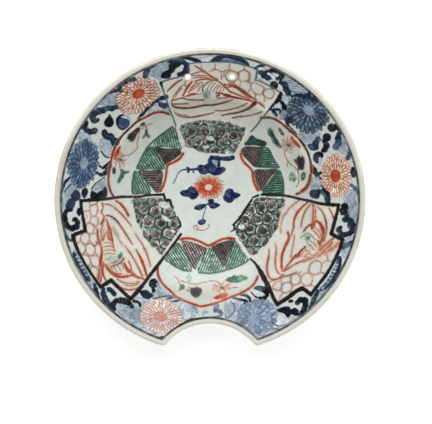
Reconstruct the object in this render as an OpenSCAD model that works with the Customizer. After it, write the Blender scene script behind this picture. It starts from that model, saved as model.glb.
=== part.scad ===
// Porcelain barber bowl: a deep well, a broad sloping rim with a round notch
// for the neck, two cord holes opposite the notch, and a foot ring.
// The painted layers are thin films that lie on the front glaze.
// Frame: Z up, origin on the bowl's axis in the plane of the foot rim.
// The notch is towards -Y and the cord holes are towards +Y.

/* [Bowl] */
// Diameter over the lip
lip_d = 270; // [240:1:310]
// Thickness of the porcelain wall
wall_t = 4; // [3:0.1:5]
// Thickness of each glaze coat
glaze_t = 0.35; // [0.2:0.05:0.6]
// Radius at which the floor turns up into the wall
floor_r = 46; // [40:0.5:52]
// Radius of the floor's shallow dish
floor_dish_r = 260; // [180:5:400]
// Radius of the wall's curve
wall_bend_r = 80; // [70:1:88]
// Steepness of the wall where it meets the rim, in degrees
wall_angle = 45; // [40:1:50]
// Radius of the rounded edge between wall and rim
mouth_r = 12; // [8:0.5:16]
// Slope of the rim at its inner edge, in degrees
rim_slope_in = 10; // [6:1:12]
// Slope of the rim at the lip, in degrees
rim_slope_out = 17; // [15:1:24]

/* [Foot ring] */
// Outer diameter of the foot's bare rim
foot_d = 116; // [100:1:130]
// Width of the foot's bare rim
foot_w = 5; // [3:0.5:8]
// How much each side of the foot widens towards the wall
foot_flare = 2; // [0.5:0.5:4]
// Room under the middle of the base
base_clear = 9; // [6:0.5:14]
// Height of the bare strip at the foot's rim
foot_bare_h = 2; // [1:0.5:4]

/* [Neck notch] */
// Radius of the notch
notch_r = 52; // [44:1:60]
// Depth of the notch, in from the lip circle
notch_depth = 25; // [18:1:30]

/* [Cord holes] */
// Diameter of each hole
hole_d = 4.2; // [3:0.1:6]
// Distance between the two holes
hole_spacing = 38; // [24:1:48]
// Distance from the lip to the line through the holes
hole_inset = 26; // [20:1:32]

/* [Painted layout] */
// Thickness of the enamel films
enamel_t = 0.2; // [0.1:0.05:0.3]
// Least gap between neighbouring motifs
paint_gap = 0.8; // [0.4:0.1:1.5]
// Distance from the lip to the border line
border_inset = 5; // [4:0.5:8]
// Width of the border line
border_w = 1.2; // [0.6:0.1:2]
// Radius of the centre medallion
medallion_r = 42; // [38:0.5:44]
// Height of the cusps on the medallion's outline
cusp_h = 4.5; // [2:0.5:6]
// Outer radius of the band of triangles and brocade
band_r = 65; // [60:0.5:70]
// Half angle of a fan panel, in degrees
fan_half = 28; // [24:1:32]
// Half angle of the tab on a fan panel, in degrees
tab_half = 13.5; // [10:0.5:18]
// Share of the rim's width that the fan's shoulders reach across
shoulder_reach = 0.53; // [0.45:0.01:0.6]
// Share of the rim's width that the fan's tab reaches across
tab_reach = 0.82; // [0.7:0.01:0.9]
// Width of the fan frames' line
frame_w = 2.2; // [1:0.1:3]
// Width of the red outlines
outline_w = 1.2; // [0.6:0.1:2]
// Radius of each lobe of a lobed panel
lobe_r = 20; // [16:0.5:22]
// Angle between neighbouring lobes, in degrees
lobe_pitch = 15; // [12:1:17]

/* [Motifs] */
// Diameter of a rim flower
flower_d = 29; // [22:0.5:32]
// Number of petals of a rim flower
petals = 16; // [10:1:20]
// Diameter of a rim flower's heart
heart_d = 7; // [4:0.5:10]
// Angle from a lobed panel's middle to its blue flower, in degrees
blue_flower_angle = 15; // [12:1:20]
// Angle from a lobed panel's middle to its red flower, in degrees
red_flower_angle = 21; // [18:1:24]
// Angle from the notch's middle to the flowers beside it, in degrees
notch_flower_angle = 24; // [22:0.5:26]
// Length of a rim leaf
leaf_len = 11; // [7:0.5:14]
// Width of a rim leaf
leaf_w = 4.6; // [3:0.2:6]
// Distance across a hexagon of the diaper
hexagon_w = 8; // [6:0.5:11]
// Width of the diaper's line
hexagon_line = 1; // [0.5:0.1:1.5]
// Share of the rim's width between the mouth's edge and the diaper
diaper_start = 0.12; // [0.05:0.01:0.2]
// Length of a bird figure's body
bird_len = 20; // [14:1:24]
// Width of a bird figure's body
bird_w = 7; // [5:0.5:9]
// Length of a tail feather
feather_len = 34; // [24:1:44]
// Width of a tail feather
feather_w = 2.4; // [1.5:0.1:4]
// Width of the brocade net's line
net_line = 1.9; // [1:0.1:2.5]
// Rows of brocade cells from the medallion to the fan's picture
cell_rows = 3; // [2:1:4]
// Brocade cells in each row
cell_columns = 6; // [4:1:8]
// Number of green triangles in a lobed panel's band
green_count = 3; // [2:1:4]
// Diameter of a spray's blossom
blossom_d = 11; // [8:0.5:13]
// Length of a spray's leaf
spray_leaf_len = 10; // [6:0.5:12]
// Width of a spray's leaf
spray_leaf_w = 4; // [2.5:0.5:6]
// Diameter of the centre flower
centre_flower_d = 27; // [22:0.5:30]
// Diameter of the centre flower's heart
centre_heart_d = 6; // [4:0.5:9]
// Distance from the bowl's axis to the centre flower's middle
centre_flower_y = 6.5; // [0:0.5:10]
// Length of a centre leaf
centre_leaf_len = 14; // [10:0.5:17]
// Width of a centre leaf
centre_leaf_w = 6; // [4:0.5:8]

/* [Hidden] */
$fn = 96;

// The section is a chain of arcs that share their tangents: floor, wall, mouth and rim.
// Each arc is given by its centre and radius, and runs between two slopes.
function dished(centre, r, slope) = centre + r * [sin(slope), -cos(slope)];
function domed(centre, r, slope) = centre + r * [-sin(slope), cos(slope)];
function between(a, b, i, n) = a + (b - a) * i / n;

floor_slope = asin(floor_r / floor_dish_r);
floor_c = [0, base_clear + glaze_t + wall_t + floor_dish_r];
wall_start = dished(floor_c, floor_dish_r, floor_slope);
wall_c = domed(wall_start, wall_bend_r, floor_slope);
mouth_start = dished(wall_c, wall_bend_r, wall_angle);
mouth_c = dished(mouth_start, mouth_r, wall_angle);
rim_start = domed(mouth_c, mouth_r, rim_slope_in);
rim_end_r = lip_d / 2 - glaze_t - wall_t / 2 * (1 + sin(rim_slope_out));
rim_bend_r = (rim_end_r - rim_start.x) / (sin(rim_slope_out) - sin(rim_slope_in));
rim_c = domed(rim_start, rim_bend_r, rim_slope_in);
rim_end = dished(rim_c, rim_bend_r, rim_slope_out);
lip_c = dished(rim_end, wall_t / 2, rim_slope_out);
top_z = lip_c.y + wall_t;

floor_steps = 3;
wall_steps = 6;
mouth_steps = 4;
rim_steps = 4;
lip_steps = 8;

// The front face, moved inwards by depth: 0 is bare porcelain, wall_t is the back.
function face(depth) = concat(
    [for (i = [0:floor_steps])
        dished(floor_c, floor_dish_r + depth, between(0, floor_slope, i, floor_steps))],
    [for (i = [1:wall_steps])
        dished(wall_c, wall_bend_r + depth, between(floor_slope, wall_angle, i, wall_steps))],
    [for (i = [1:mouth_steps])
        domed(mouth_c, mouth_r - depth, between(wall_angle, rim_slope_in, i, mouth_steps))],
    [for (i = [1:rim_steps])
        dished(rim_c, rim_bend_r + depth, between(rim_slope_in, rim_slope_out, i, rim_steps))]);

// The round lip, from the front face over the edge to the back.
function lip(grow) = [for (i = [0:lip_steps])
    domed(lip_c, wall_t / 2 + grow, rim_slope_out - 180 * i / lip_steps)];

function reversed(list) = [for (i = [len(list) - 1:-1:0]) list[i]];

foot_out_r = foot_d / 2;
foot_in_r = foot_out_r - foot_w;
foot_mid_r = foot_out_r - foot_w / 2;
foot_top = mouth_start.y;
notch_c = lip_d / 2 - notch_depth + notch_r;
hole_y = lip_d / 2 - hole_inset;

border_end = border_inset + border_w;
rim_w = lip_d / 2 - border_end - rim_start.x;
tab_r = rim_start.x + tab_reach * rim_w;
fan_r = rim_start.x + shoulder_reach * rim_w;
flower_r = rim_start.x + rim_w / 2;
lobe_c_r = rim_start.x - lobe_r;
diaper_r = rim_start.x + diaper_start * rim_w;
spray_r = (band_r + rim_start.x) / 2;
band_inner_r = medallion_r + cusp_h;
point_inner_r = band_inner_r + paint_gap;
brocade_inner_r = medallion_r + frame_w + paint_gap;
cell_row_h = (band_r - brocade_inner_r) / cell_rows;
cell_step = 2 * fan_half / cell_columns;
cell_pitch = 2 * (brocade_inner_r + cell_row_h / 2) * sin(cell_step / 2);
cell_hole_w = min(cell_row_h / sin(60), cell_pitch) - net_line;

// Three fan panels and three lobed panels share the circle.
sector = 60;
fan_turns = [0, 2 * sector, 4 * sector];
side_panel_turns = [sector, 5 * sector];
notch_panel_turn = 3 * sector;
panel_turns = concat(side_panel_turns, notch_panel_turn);
panel_half = sector - fan_half;
point_step = panel_half / green_count;

// Shares of a petal's step that its tip and root take up.
petal_tip_share = 0.85;
petal_root_share = 0.6;
leaf_lean = 35;
feather_count = 5;
feather_spread = 13;
blossom_petals = 8;
centre_petals = 14;
centre_leaf_turns = [-120, -90, -25, 0, 25, 90, 120, 180];
spray_leaf_turns = [-105, -70, 70, 105];

// Sections

module wall_section(grow) {
    polygon(concat(face(-grow), lip(grow), reversed(face(wall_t + grow))));
}

module film_section(inner, outer) {
    polygon(concat(face(-outer), reversed(face(-inner))));
}

module above_back_section() {
    polygon(concat(face(wall_t), [[rim_end.x, 2 * top_z], [0, 2 * top_z]]));
}

module foot_section(grow) {
    difference() {
        polygon([[foot_in_r - grow, 0], [foot_out_r + grow, 0],
            [foot_out_r + grow + foot_flare, foot_top],
            [foot_in_r - grow - foot_flare, foot_top]]);
        above_back_section();
    }
}

module back_film_section() {
    difference() {
        polygon(concat(face(wall_t), reversed(face(wall_t + glaze_t))));
        foot_section(0);
    }
}

module foot_film_section() {
    difference() {
        foot_section(glaze_t);
        foot_section(0);
        square([lip_d, foot_bare_h]);
    }
}

// Cuts

module notch(grow) {
    translate([0, -notch_c, -top_z]) cylinder(r = notch_r + grow, h = 3 * top_z);
}

module cord_holes(grow) {
    for (side = [-1, 1])
        translate([side * hole_spacing / 2, hole_y, -top_z])
            cylinder(d = hole_d + 2 * grow, h = 3 * top_z);
}

// A film of enamel with the outline of its flat children, laid on the front glaze.
module enamel() {
    difference() {
        intersection() {
            rotate_extrude() film_section(glaze_t, glaze_t + enamel_t);
            linear_extrude(height = 2 * top_z) children();
        }
        cord_holes(paint_gap);
    }
}

// Flat outlines

module rim_outline(inset) {
    difference() {
        circle(r = lip_d / 2 - inset);
        translate([0, -notch_c]) circle(r = notch_r + inset);
    }
}

// A wedge about +Y with its sides moved in by inset.
module wedge(half, inset) {
    apex = inset / sin(half);
    polygon([[0, apex], [-lip_d * sin(half), apex + lip_d * cos(half)],
        [lip_d * sin(half), apex + lip_d * cos(half)]]);
}

// A pointed leaf along +Y from the origin.
module leaf(length, width) {
    polygon([[0, 0], [width / 2, length / 3], [width / 2, length * 2 / 3], [0, length],
        [-width / 2, length * 2 / 3], [-width / 2, length / 3]]);
}

// A petal along +Y, with a narrow root and a broad cut tip.
module petal(length, root_w, tip_w) {
    polygon([[root_w / 2, 0], [tip_w / 2, length * 3 / 4], [tip_w / 4, length],
        [-tip_w / 4, length], [-tip_w / 2, length * 3 / 4], [-root_w / 2, 0]]);
}

module flower(diameter, count, heart, gap) {
    root_r = heart / 2 + gap;
    pitch = 2 * sin(180 / count);
    circle(d = heart);
    for (i = [0:count - 1])
        rotate(i * 360 / count)
            translate([0, root_r])
                petal(diameter / 2 - root_r, petal_root_share * pitch * root_r,
                    petal_tip_share * pitch * diameter / 2 * 3 / 4);
}

// A hexagon of this width, with a corner towards +Y.
module hexagon(width) {
    rotate(30) circle(r = width / 2 / cos(30), $fn = 6);
}

// Hexagons on a honeycomb grid about +Y, from one radius to the next.
module honeycomb(width, pitch, first_r, last_r) {
    row_pitch = pitch * sin(60);
    across = ceil(last_r * sin(fan_half) / pitch);
    rows = ceil((last_r - first_r * cos(fan_half)) / row_pitch);
    for (row = [0:rows], i = [-across:across])
        translate([(i + (row % 2) / 2) * pitch, last_r - row * row_pitch]) hexagon(width);
}

module fan(inset) {
    difference() {
        union() {
            intersection() {
                wedge(fan_half, inset);
                circle(r = fan_r - inset);
            }
            intersection() {
                wedge(tab_half, inset);
                circle(r = tab_r - inset);
            }
        }
        circle(r = medallion_r + inset);
    }
}

module lobed_panel(inset) {
    difference() {
        intersection() {
            wedge(panel_half, paint_gap + inset);
            union() {
                for (i = [-1:1])
                    rotate(i * lobe_pitch) translate([0, lobe_c_r]) circle(r = lobe_r - inset);
                circle(r = lobe_c_r);
            }
        }
        circle(r = band_r + paint_gap + inset);
    }
}

// The medallion's outline about +Y: a circle with one outward cusp.
module medallion(inset) {
    circle(r = medallion_r - inset);
    polygon([[-cusp_h, medallion_r - cusp_h], [cusp_h, medallion_r - cusp_h],
        [0, band_inner_r - 2 * inset]]);
}

// The free field of the rim, outside every panel.
module rim_field() {
    difference() {
        rim_outline(border_end + paint_gap);
        circle(r = rim_start.x + paint_gap);
        for (turn = fan_turns)
            rotate(turn) fan(-paint_gap);
    }
}

// Places of one rim flower a panel. The two beside the notch stand further apart.
module at_rim_flower(angle) {
    for (turn = side_panel_turns)
        rotate(turn + angle) translate([0, flower_r]) children();
    rotate(notch_panel_turn + sign(angle) * notch_flower_angle) translate([0, flower_r]) children();
}

module rim_flower_spots(angle) {
    at_rim_flower(angle) circle(d = flower_d + 2 * paint_gap);
}

// Porcelain

module body() {
    color("white")
        difference() {
            rotate_extrude() wall_section(0);
            notch(glaze_t);
            cord_holes(0);
        }
}

module foot_ring() {
    color("linen")
        rotate_extrude() foot_section(0);
}

// Glaze

module front_glaze() {
    color("azure")
        difference() {
            rotate_extrude() film_section(0, glaze_t);
            notch(glaze_t);
            cord_holes(0);
        }
}

module outside_foot() {
    translate([foot_mid_r, 0]) square([lip_d, top_z]);
}

module back_glaze() {
    color("lightcyan")
        difference() {
            union() {
                rotate_extrude()
                    intersection() {
                        back_film_section();
                        outside_foot();
                    }
                rotate_extrude()
                    intersection() {
                        foot_film_section();
                        outside_foot();
                    }
            }
            notch(glaze_t);
            cord_holes(0);
        }
}

module base_glaze() {
    color("lightcyan") {
        rotate_extrude()
            difference() {
                back_film_section();
                outside_foot();
            }
        rotate_extrude()
            difference() {
                foot_film_section();
                outside_foot();
            }
    }
}

module lip_glaze() {
    color("antiquewhite") {
        difference() {
            rotate_extrude() polygon(concat(lip(glaze_t), reversed(lip(0))));
            notch(glaze_t);
        }
        difference() {
            intersection() {
                rotate_extrude() wall_section(glaze_t);
                notch(glaze_t);
            }
            notch(0);
        }
    }
}

// Painting on the rim

module border_line() {
    color("midnightblue")
        enamel()
            difference() {
                rim_outline(border_inset);
                rim_outline(border_end);
            }
}

module blue_flowers() {
    color("royalblue")
        enamel()
            intersection() {
                at_rim_flower(blue_flower_angle) flower(flower_d, petals, heart_d, paint_gap);
                rim_field();
            }
}

module red_flowers() {
    color("orangered")
        enamel()
            intersection() {
                at_rim_flower(-red_flower_angle) flower(flower_d, petals, heart_d, paint_gap);
                rim_field();
            }
}

// A pair of leaves that lean opposite ways, one near each edge of the rim.
module leaf_pair() {
    for (row = [-1, 1])
        translate([0, flower_r + row * (flower_d - leaf_len) / 2])
            rotate(90 + row * leaf_lean)
                translate([0, -leaf_len / 2]) leaf(leaf_len, leaf_w);
}

// Leaf pairs between the two flowers of a panel, and one beyond the blue flower.
module blue_leaves() {
    middle = (blue_flower_angle - red_flower_angle) / 2;
    pair_step = asin(leaf_w / sin(leaf_lean) / flower_r) + asin(paint_gap / flower_r);
    beyond = blue_flower_angle + asin((flower_d / 2 + leaf_len / 2) / flower_r);
    color("navy")
        enamel()
            difference() {
                intersection() {
                    for (turn = side_panel_turns, angle = [middle - pair_step, middle,
                            middle + pair_step, beyond])
                        rotate(turn + angle) leaf_pair();
                    rim_field();
                }
                rim_flower_spots(blue_flower_angle);
                rim_flower_spots(-red_flower_angle);
            }
}

// Fan panels

module each_fan() {
    for (turn = fan_turns)
        rotate(turn) children();
}

module fan_frames() {
    color("black")
        enamel()
            each_fan()
                difference() {
                    fan(0);
                    fan(frame_w);
                }
}

module hexagon_diaper() {
    color("salmon")
        enamel()
            each_fan()
                difference() {
                    fan(frame_w + paint_gap);
                    circle(r = diaper_r);
                    honeycomb(hexagon_w, hexagon_w + hexagon_line, diaper_r, tab_r);
                }
}

// A long-tailed bird: the body and its wing point one way, the feathers fan out the other way.
module bird() {
    rotate(90) leaf(bird_len, bird_w);
    rotate(90 - 2 * feather_spread) translate([0, bird_w]) leaf(bird_len, bird_w / 2);
    for (i = [0:feather_count - 1])
        rotate(-90 + (i - (feather_count - 1) / 2) * feather_spread)
            translate([0, bird_w]) leaf(feather_len, feather_w);
}

module fan_birds() {
    color("firebrick")
        enamel()
            each_fan()
                difference() {
                    intersection() {
                        fan(frame_w + paint_gap);
                        circle(r = diaper_r - paint_gap);
                        translate([-bird_len / 2, spray_r]) bird();
                    }
                    circle(r = band_r + paint_gap);
                }
}

// Lobed panels

module each_panel() {
    for (turn = panel_turns)
        rotate(turn) children();
}

module panel_outlines() {
    color("crimson")
        enamel()
            each_panel()
                difference() {
                    lobed_panel(0);
                    lobed_panel(outline_w);
                }
}

module panel_blossoms() {
    color("tomato")
        enamel()
            each_panel()
                intersection() {
                    lobed_panel(outline_w + paint_gap);
                    translate([0, spray_r])
                        flower(blossom_d, blossom_petals, spray_leaf_w, paint_gap / 2);
                }
}

module panel_leaves() {
    color("seagreen")
        enamel()
            each_panel()
                intersection() {
                    lobed_panel(outline_w + paint_gap);
                    translate([0, spray_r])
                        for (turn = spray_leaf_turns)
                            rotate(turn)
                                translate([0, blossom_d / 2 + paint_gap])
                                    leaf(spray_leaf_len, spray_leaf_w);
                }
}

// Band round the centre

module brocade_field() {
    difference() {
        intersection() {
            wedge(fan_half, frame_w + paint_gap);
            circle(r = band_r);
        }
        circle(r = brocade_inner_r);
    }
}

// Hexagons in rings about the centre, each row half a step on from the last.
module brocade_grid(width) {
    for (row = [0:cell_rows - 1], i = [0:cell_columns])
        rotate((i + (row % 2) / 2) * cell_step - fan_half)
            translate([0, band_r - (row + 0.5) * cell_row_h]) hexagon(width);
}

module brocade_net() {
    color("mediumseagreen")
        enamel()
            each_fan()
                difference() {
                    brocade_field();
                    brocade_grid(cell_hole_w);
                }
}

module brocade_cells() {
    color("rosybrown")
        enamel()
            each_fan()
                intersection() {
                    brocade_field();
                    brocade_grid(cell_hole_w - paint_gap);
                }
}

module band_field() {
    difference() {
        intersection() {
            wedge(panel_half, 2 * paint_gap);
            circle(r = band_r - paint_gap);
        }
        circle(r = point_inner_r);
    }
}

// Green points have their tips inwards and stand on the band's outer arc.
module green_triangles() {
    corner = band_r * [sin(point_step), cos(point_step)] - [paint_gap, 0];
    tip = [0, point_inner_r];
    side = 2 * (corner - tip);
    color("teal")
        enamel()
            each_panel()
                intersection() {
                    band_field();
                    for (i = [1 - green_count:2:green_count - 1])
                        rotate(i * point_step)
                            polygon([tip, tip + side, tip + [-side.x, side.y]]);
                }
}

// Aubergine points fill the gaps, with their tips outwards.
module aubergine_triangles() {
    corner = point_inner_r * [sin(point_step), cos(point_step)] - [paint_gap, 0];
    tip = [0, band_r];
    color("dimgray")
        enamel()
            each_panel()
                intersection() {
                    band_field();
                    for (i = [2 - green_count:2:green_count - 2])
                        rotate(i * point_step)
                            polygon([tip, corner, [0, band_inner_r], [-corner.x, corner.y]]);
                }
}

// Centre medallion

module centre_brackets() {
    color("red")
        enamel()
            each_panel()
                intersection() {
                    difference() {
                        medallion(0);
                        medallion(outline_w);
                    }
                    wedge(panel_half, paint_gap);
                }
}

module centre_flower() {
    color("orangered")
        enamel()
            translate([0, centre_flower_y])
                flower(centre_flower_d, centre_petals, centre_heart_d, paint_gap);
}

module centre_leaves() {
    color("darkblue")
        enamel()
            intersection() {
                circle(r = medallion_r - outline_w - paint_gap);
                translate([0, centre_flower_y])
                    for (turn = centre_leaf_turns)
                        rotate(turn)
                            translate([0, centre_flower_d / 2 + paint_gap])
                                leaf(centre_leaf_len, centre_leaf_w);
            }
}

body();
foot_ring();
front_glaze();
back_glaze();
base_glaze();
lip_glaze();
border_line();
blue_flowers();
blue_leaves();
red_flowers();
fan_frames();
hexagon_diaper();
fan_birds();
panel_outlines();
panel_blossoms();
panel_leaves();
brocade_net();
brocade_cells();
green_triangles();
aubergine_triangles();
centre_brackets();
centre_flower();
centre_leaves();
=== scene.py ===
"""Looks of a porcelain barber bowl: painted front, plain glazed back and foot ring.

The painting is drawn on a flat sheet whose units are the photograph's pixels. Each point of
the front face then takes its colour and enamel thickness from where it falls on that sheet.
"""

import math
from typing import NamedTuple

import bmesh
import bpy
import numpy as np
from mathutils import Matrix, Vector


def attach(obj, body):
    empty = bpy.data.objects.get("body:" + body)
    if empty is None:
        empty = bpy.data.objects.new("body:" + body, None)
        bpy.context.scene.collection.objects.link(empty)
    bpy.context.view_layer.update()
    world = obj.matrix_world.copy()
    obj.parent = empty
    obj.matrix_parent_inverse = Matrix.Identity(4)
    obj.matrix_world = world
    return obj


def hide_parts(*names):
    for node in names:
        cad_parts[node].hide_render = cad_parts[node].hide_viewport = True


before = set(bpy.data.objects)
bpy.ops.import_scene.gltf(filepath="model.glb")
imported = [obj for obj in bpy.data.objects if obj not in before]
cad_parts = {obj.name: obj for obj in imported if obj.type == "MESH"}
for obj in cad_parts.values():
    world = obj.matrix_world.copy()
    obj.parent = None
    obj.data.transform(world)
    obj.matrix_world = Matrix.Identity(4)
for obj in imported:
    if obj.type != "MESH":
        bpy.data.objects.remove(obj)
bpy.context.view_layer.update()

MM = 0.001

# Sizes in millimetres, as in the CAD source.
LIP_R = 135.0
WALL_T = 4.0
GLAZE_T = 0.35
FLOOR_R = 46.0
FLOOR_DISH_R = 260.0
WALL_BEND_R = 80.0
WALL_ANGLE = math.radians(45)
MOUTH_R = 12.0
RIM_SLOPE_IN = math.radians(10)
RIM_SLOPE_OUT = math.radians(17)
BASE_CLEAR = 9.0
FOOT_R = 58.0
FOOT_W = 5.0
FOOT_FLARE = 2.0
FOOT_BARE_H = 2.0
NOTCH_R = 52.0
NOTCH_Y = -162.0
HOLE_R = 2.1
HOLES = ((-19.0, 109.0), (19.0, 109.0))

# Finer shape of the fired piece, in millimetres.
EDGE_R = WALL_T / 2 + GLAZE_T
EDGE_INSET = EDGE_R * (1 + math.sin(RIM_SLOPE_OUT))
TIP_ROUND = 1.2
NOTCH_TIP = (39.7, -129.0)
LIP_BAND_W = 4.5
LIP_BAND_FADE = 0.4
BORDER_D = 5.8
BORDER_W = 1.35
HOLE_ROUND = 0.5
# Distances from a hole's wall, and from the lip's band, over which the cream ends and the enamel rises.
HOLE_CREAM_END = (1.1, 0.4)
HOLE_ENAMEL_RISE = (0.6, 1.4)
LIP_ENAMEL_RISE = 1.0
# Rows down a cord hole: shares of HOLE_ROUND out from its wall, and depths below the face.
HOLE_ROWS = ((0.7, 0.05), (0.3, 0.22), (0.0, 0.6), (-0.05, 1.4), (-0.1, EDGE_R))
# Rows of the foot's bare rim: distances out from its wall, and heights.
FOOT_RIM_ROWS = ((-0.9, 0.0), (-0.35, 0.12), (0.0, 0.6), (0.05, FOOT_BARE_H))
# Rows of its glazed wall and of the fillet on the back: shares of the way up.
FOOT_WALL_ROWS = (0.05, 0.2, 0.4, 0.6, 0.75, 0.85)
FOOT_FILLET_ROWS = (0.3, 0.6, 0.85, 1.0)
FOOT_FILLET_W = 3.2
FOOT_FILLET_BEND = 1.8
FOOT_REACH = (FOOT_FLARE + GLAZE_T) * 0.75
FOOT_LEAN = (FOOT_FLARE + GLAZE_T) * 0.5

# Painted shade on the lip: darker on both sides, most at one place on the left, in radians about the axis.
LIP_SIDE_SHADE = 0.35
LIP_SHADE_AT = math.radians(165)
LIP_SHADE_SPREAD = math.radians(12)
# Round its edge, in degrees from the front, it is rubbed most on its crown.
LIP_CROWN_AT = 76
LIP_CROWN_SPREAD = 16
# How strongly that painted shade darkens the lip's band on the front, and its round edge
LIP_BAND_SHADE = 0.35
LIP_EDGE_SHADE = 0.4

# The photograph's camera, fitted to the bowl's outline. Distances in millimetres.
PHOTO_W, PHOTO_H = 432, 424
TILT = math.radians(10.8)
EYE_DISTANCE = 1500.0
LIP_R_PX = 155.82
PX_PER_MM = LIP_R_PX / LIP_R
LIP_CENTRE_PX = (210.0, 203.1)
SENSOR_W = 36.0
TOWARDS_EYE = np.array([0, math.sin(TILT), math.cos(TILT)])
PICTURE_UP = np.array([0, math.cos(TILT), -math.sin(TILT)])

# Fineness of the meshes: counts round the axis, and steps in millimetres.
TURNS = 1440
FEWEST_TURNS = 45
# A ring's count is halved while its points are closer than this share of the step.
CROWDED = 0.6
ANGLE_SAMPLES = 20001
TIP_CROWDING = 5
TIP_CROWDING_SPREAD = math.radians(3)
LAST_CIRCLE_R = 100.0
FRONT_STEP = 0.5
FRONT_RIM_STEPS = 68
BACK_STEP = 1.5
BACK_TURN_STEP = 1.8
BACK_RIM_STEPS = 20
LIP_STEPS = 17
FOOT_TURNS = 360
# The search for the outline starts nearer the axis than the notch reaches, and halves its span each time.
SEARCH_FROM_R = 90.0
SEARCH_HALVINGS = 40
SLOPE_PROBE = 0.01
# Width of the map for baking, in lip radii.
BAKE_SPAN = 2.05


# Form


def dished(centre, r, slope):
    """Point of the section on the lower side of an arc, where the arc has this slope."""
    return centre[0] + r * math.sin(slope), centre[1] - r * math.cos(slope)


def domed(centre, r, slope):
    """Point of the section on the upper side of an arc, where the arc has this slope."""
    return centre[0] - r * math.sin(slope), centre[1] + r * math.cos(slope)


FLOOR_SLOPE = math.asin(FLOOR_R / FLOOR_DISH_R)
FLOOR_C = (0, BASE_CLEAR + GLAZE_T + WALL_T + FLOOR_DISH_R)
WALL_C = domed(dished(FLOOR_C, FLOOR_DISH_R, FLOOR_SLOPE), WALL_BEND_R, FLOOR_SLOPE)
MOUTH_C = dished(dished(WALL_C, WALL_BEND_R, WALL_ANGLE), MOUTH_R, WALL_ANGLE)
RIM_START = domed(MOUTH_C, MOUTH_R, RIM_SLOPE_IN)
RIM_W = LIP_R - EDGE_INSET - RIM_START[0]
RIM_BEND_R = RIM_W / (math.sin(RIM_SLOPE_OUT) - math.sin(RIM_SLOPE_IN))
RIM_C = domed(RIM_START, RIM_BEND_R, RIM_SLOPE_IN)


def height(r, lift):
    """Height of the bowl's face at radius r. Lift is the distance out from the bare front."""
    floor_end = dished(FLOOR_C, FLOOR_DISH_R - lift, FLOOR_SLOPE)[0]
    wall_end = dished(WALL_C, WALL_BEND_R - lift, WALL_ANGLE)[0]
    mouth_end = domed(MOUTH_C, MOUTH_R + lift, RIM_SLOPE_IN)[0]

    def arc(centre, radius, side):
        return centre[1] + side * np.sqrt(np.maximum(radius**2 - (r - centre[0]) ** 2, 0))

    return np.select(
        [r <= floor_end, r <= wall_end, r <= mouth_end],
        [
            arc(FLOOR_C, FLOOR_DISH_R - lift, -1),
            arc(WALL_C, WALL_BEND_R - lift, -1),
            arc(MOUTH_C, MOUTH_R + lift, 1),
        ],
        arc(RIM_C, RIM_BEND_R - lift, -1),
    )


def height_at(r, lift):
    """The height at one radius, as a plain number."""
    return float(height(np.array(r), lift))


EYE = np.array([0, 0, height_at(LIP_R - EDGE_INSET, GLAZE_T)]) + EYE_DISTANCE * TOWARDS_EYE


def edge_distance(x, y):
    """Distance in plan from the bowl's outline, with the notch's two tips rounded."""
    a = LIP_R - np.hypot(x, y)
    b = np.hypot(x, y - NOTCH_Y) - NOTCH_R
    h = np.maximum(TIP_ROUND - np.abs(a - b), 0) / TIP_ROUND
    return np.minimum(a, b) - h**2 * TIP_ROUND / 4


def turn_angles():
    """Angles about the axis, closer together at the notch's two tips."""
    tip = math.atan2(NOTCH_TIP[1], NOTCH_TIP[0])
    fine = np.linspace(-math.pi / 2, 1.5 * math.pi, ANGLE_SAMPLES)
    off = np.minimum(np.abs(fine - tip), np.abs(fine - (math.pi - tip)))
    weight = 1 + TIP_CROWDING * np.exp(-((off / TIP_CROWDING_SPREAD) ** 2))
    total = np.concatenate([[0], np.cumsum((weight[1:] + weight[:-1]) / 2)])
    return np.interp(np.arange(TURNS) / TURNS, total / total[-1], fine)


ANGLES = turn_angles()


def edge_radius(angle, inset):
    """Radius at which a ray from the axis comes within inset of the outline."""
    low, high = np.full(angle.shape, SEARCH_FROM_R), np.full(angle.shape, LIP_R)
    for _ in range(SEARCH_HALVINGS):
        r = (low + high) / 2
        inside = edge_distance(r * np.cos(angle), r * np.sin(angle)) > inset
        low, high = np.where(inside, r, low), np.where(inside, high, r)
    return low


def lip_ring(turn):
    """The round edge: turn 0 is the front face's end, 180 the back's, in degrees."""
    r = edge_radius(ANGLES, EDGE_INSET)
    x, y = r * np.cos(ANGLES), r * np.sin(ANGLES)
    e = SLOPE_PROBE
    inwards = np.stack(
        [
            edge_distance(x + e, y) - edge_distance(x - e, y),
            edge_distance(x, y + e) - edge_distance(x, y - e),
            np.zeros_like(x),
        ],
        -1,
    )
    slope = (height(r + e, GLAZE_T) - height(r - e, GLAZE_T)) / (2 * e)
    normal = np.stack([-slope * np.cos(ANGLES), -slope * np.sin(ANGLES), np.ones_like(x)], -1)
    normal /= np.linalg.norm(normal, axis=1, keepdims=True)
    out = -inwards + (inwards * normal).sum(1, keepdims=True) * normal
    out /= np.linalg.norm(out, axis=1, keepdims=True)
    middle = np.stack([x, y, height(r, GLAZE_T)], -1) - EDGE_R * normal
    a = math.radians(turn)
    return middle + EDGE_R * (normal * math.cos(a) + out * math.sin(a))


def lip_side_shade(angle):
    """How much painted shade the lip takes at an angle about the axis, from 0 at the top to 1 at the left.
    """
    left = np.exp(-(((angle - LIP_SHADE_AT) / LIP_SHADE_SPREAD) ** 2))
    return LIP_SIDE_SHADE * np.cos(angle) ** 2 + (1 - LIP_SIDE_SHADE) * left


def circle_ring(r, lift, count):
    """Points round the axis on one face. The radius is one number, or one for each point."""
    angle = ANGLES[:: TURNS // count]
    r = np.broadcast_to(r, angle.shape)
    return np.stack([r * np.cos(angle), r * np.sin(angle), height(r, lift)], -1)


def turns_at(r, step):
    """Points on a ring of radius r, halved towards the axis so that they stay about step apart."""
    count = TURNS
    while count > FEWEST_TURNS and 2 * math.pi * r / count < step * CROWDED:
        count //= 2
    return count


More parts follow.
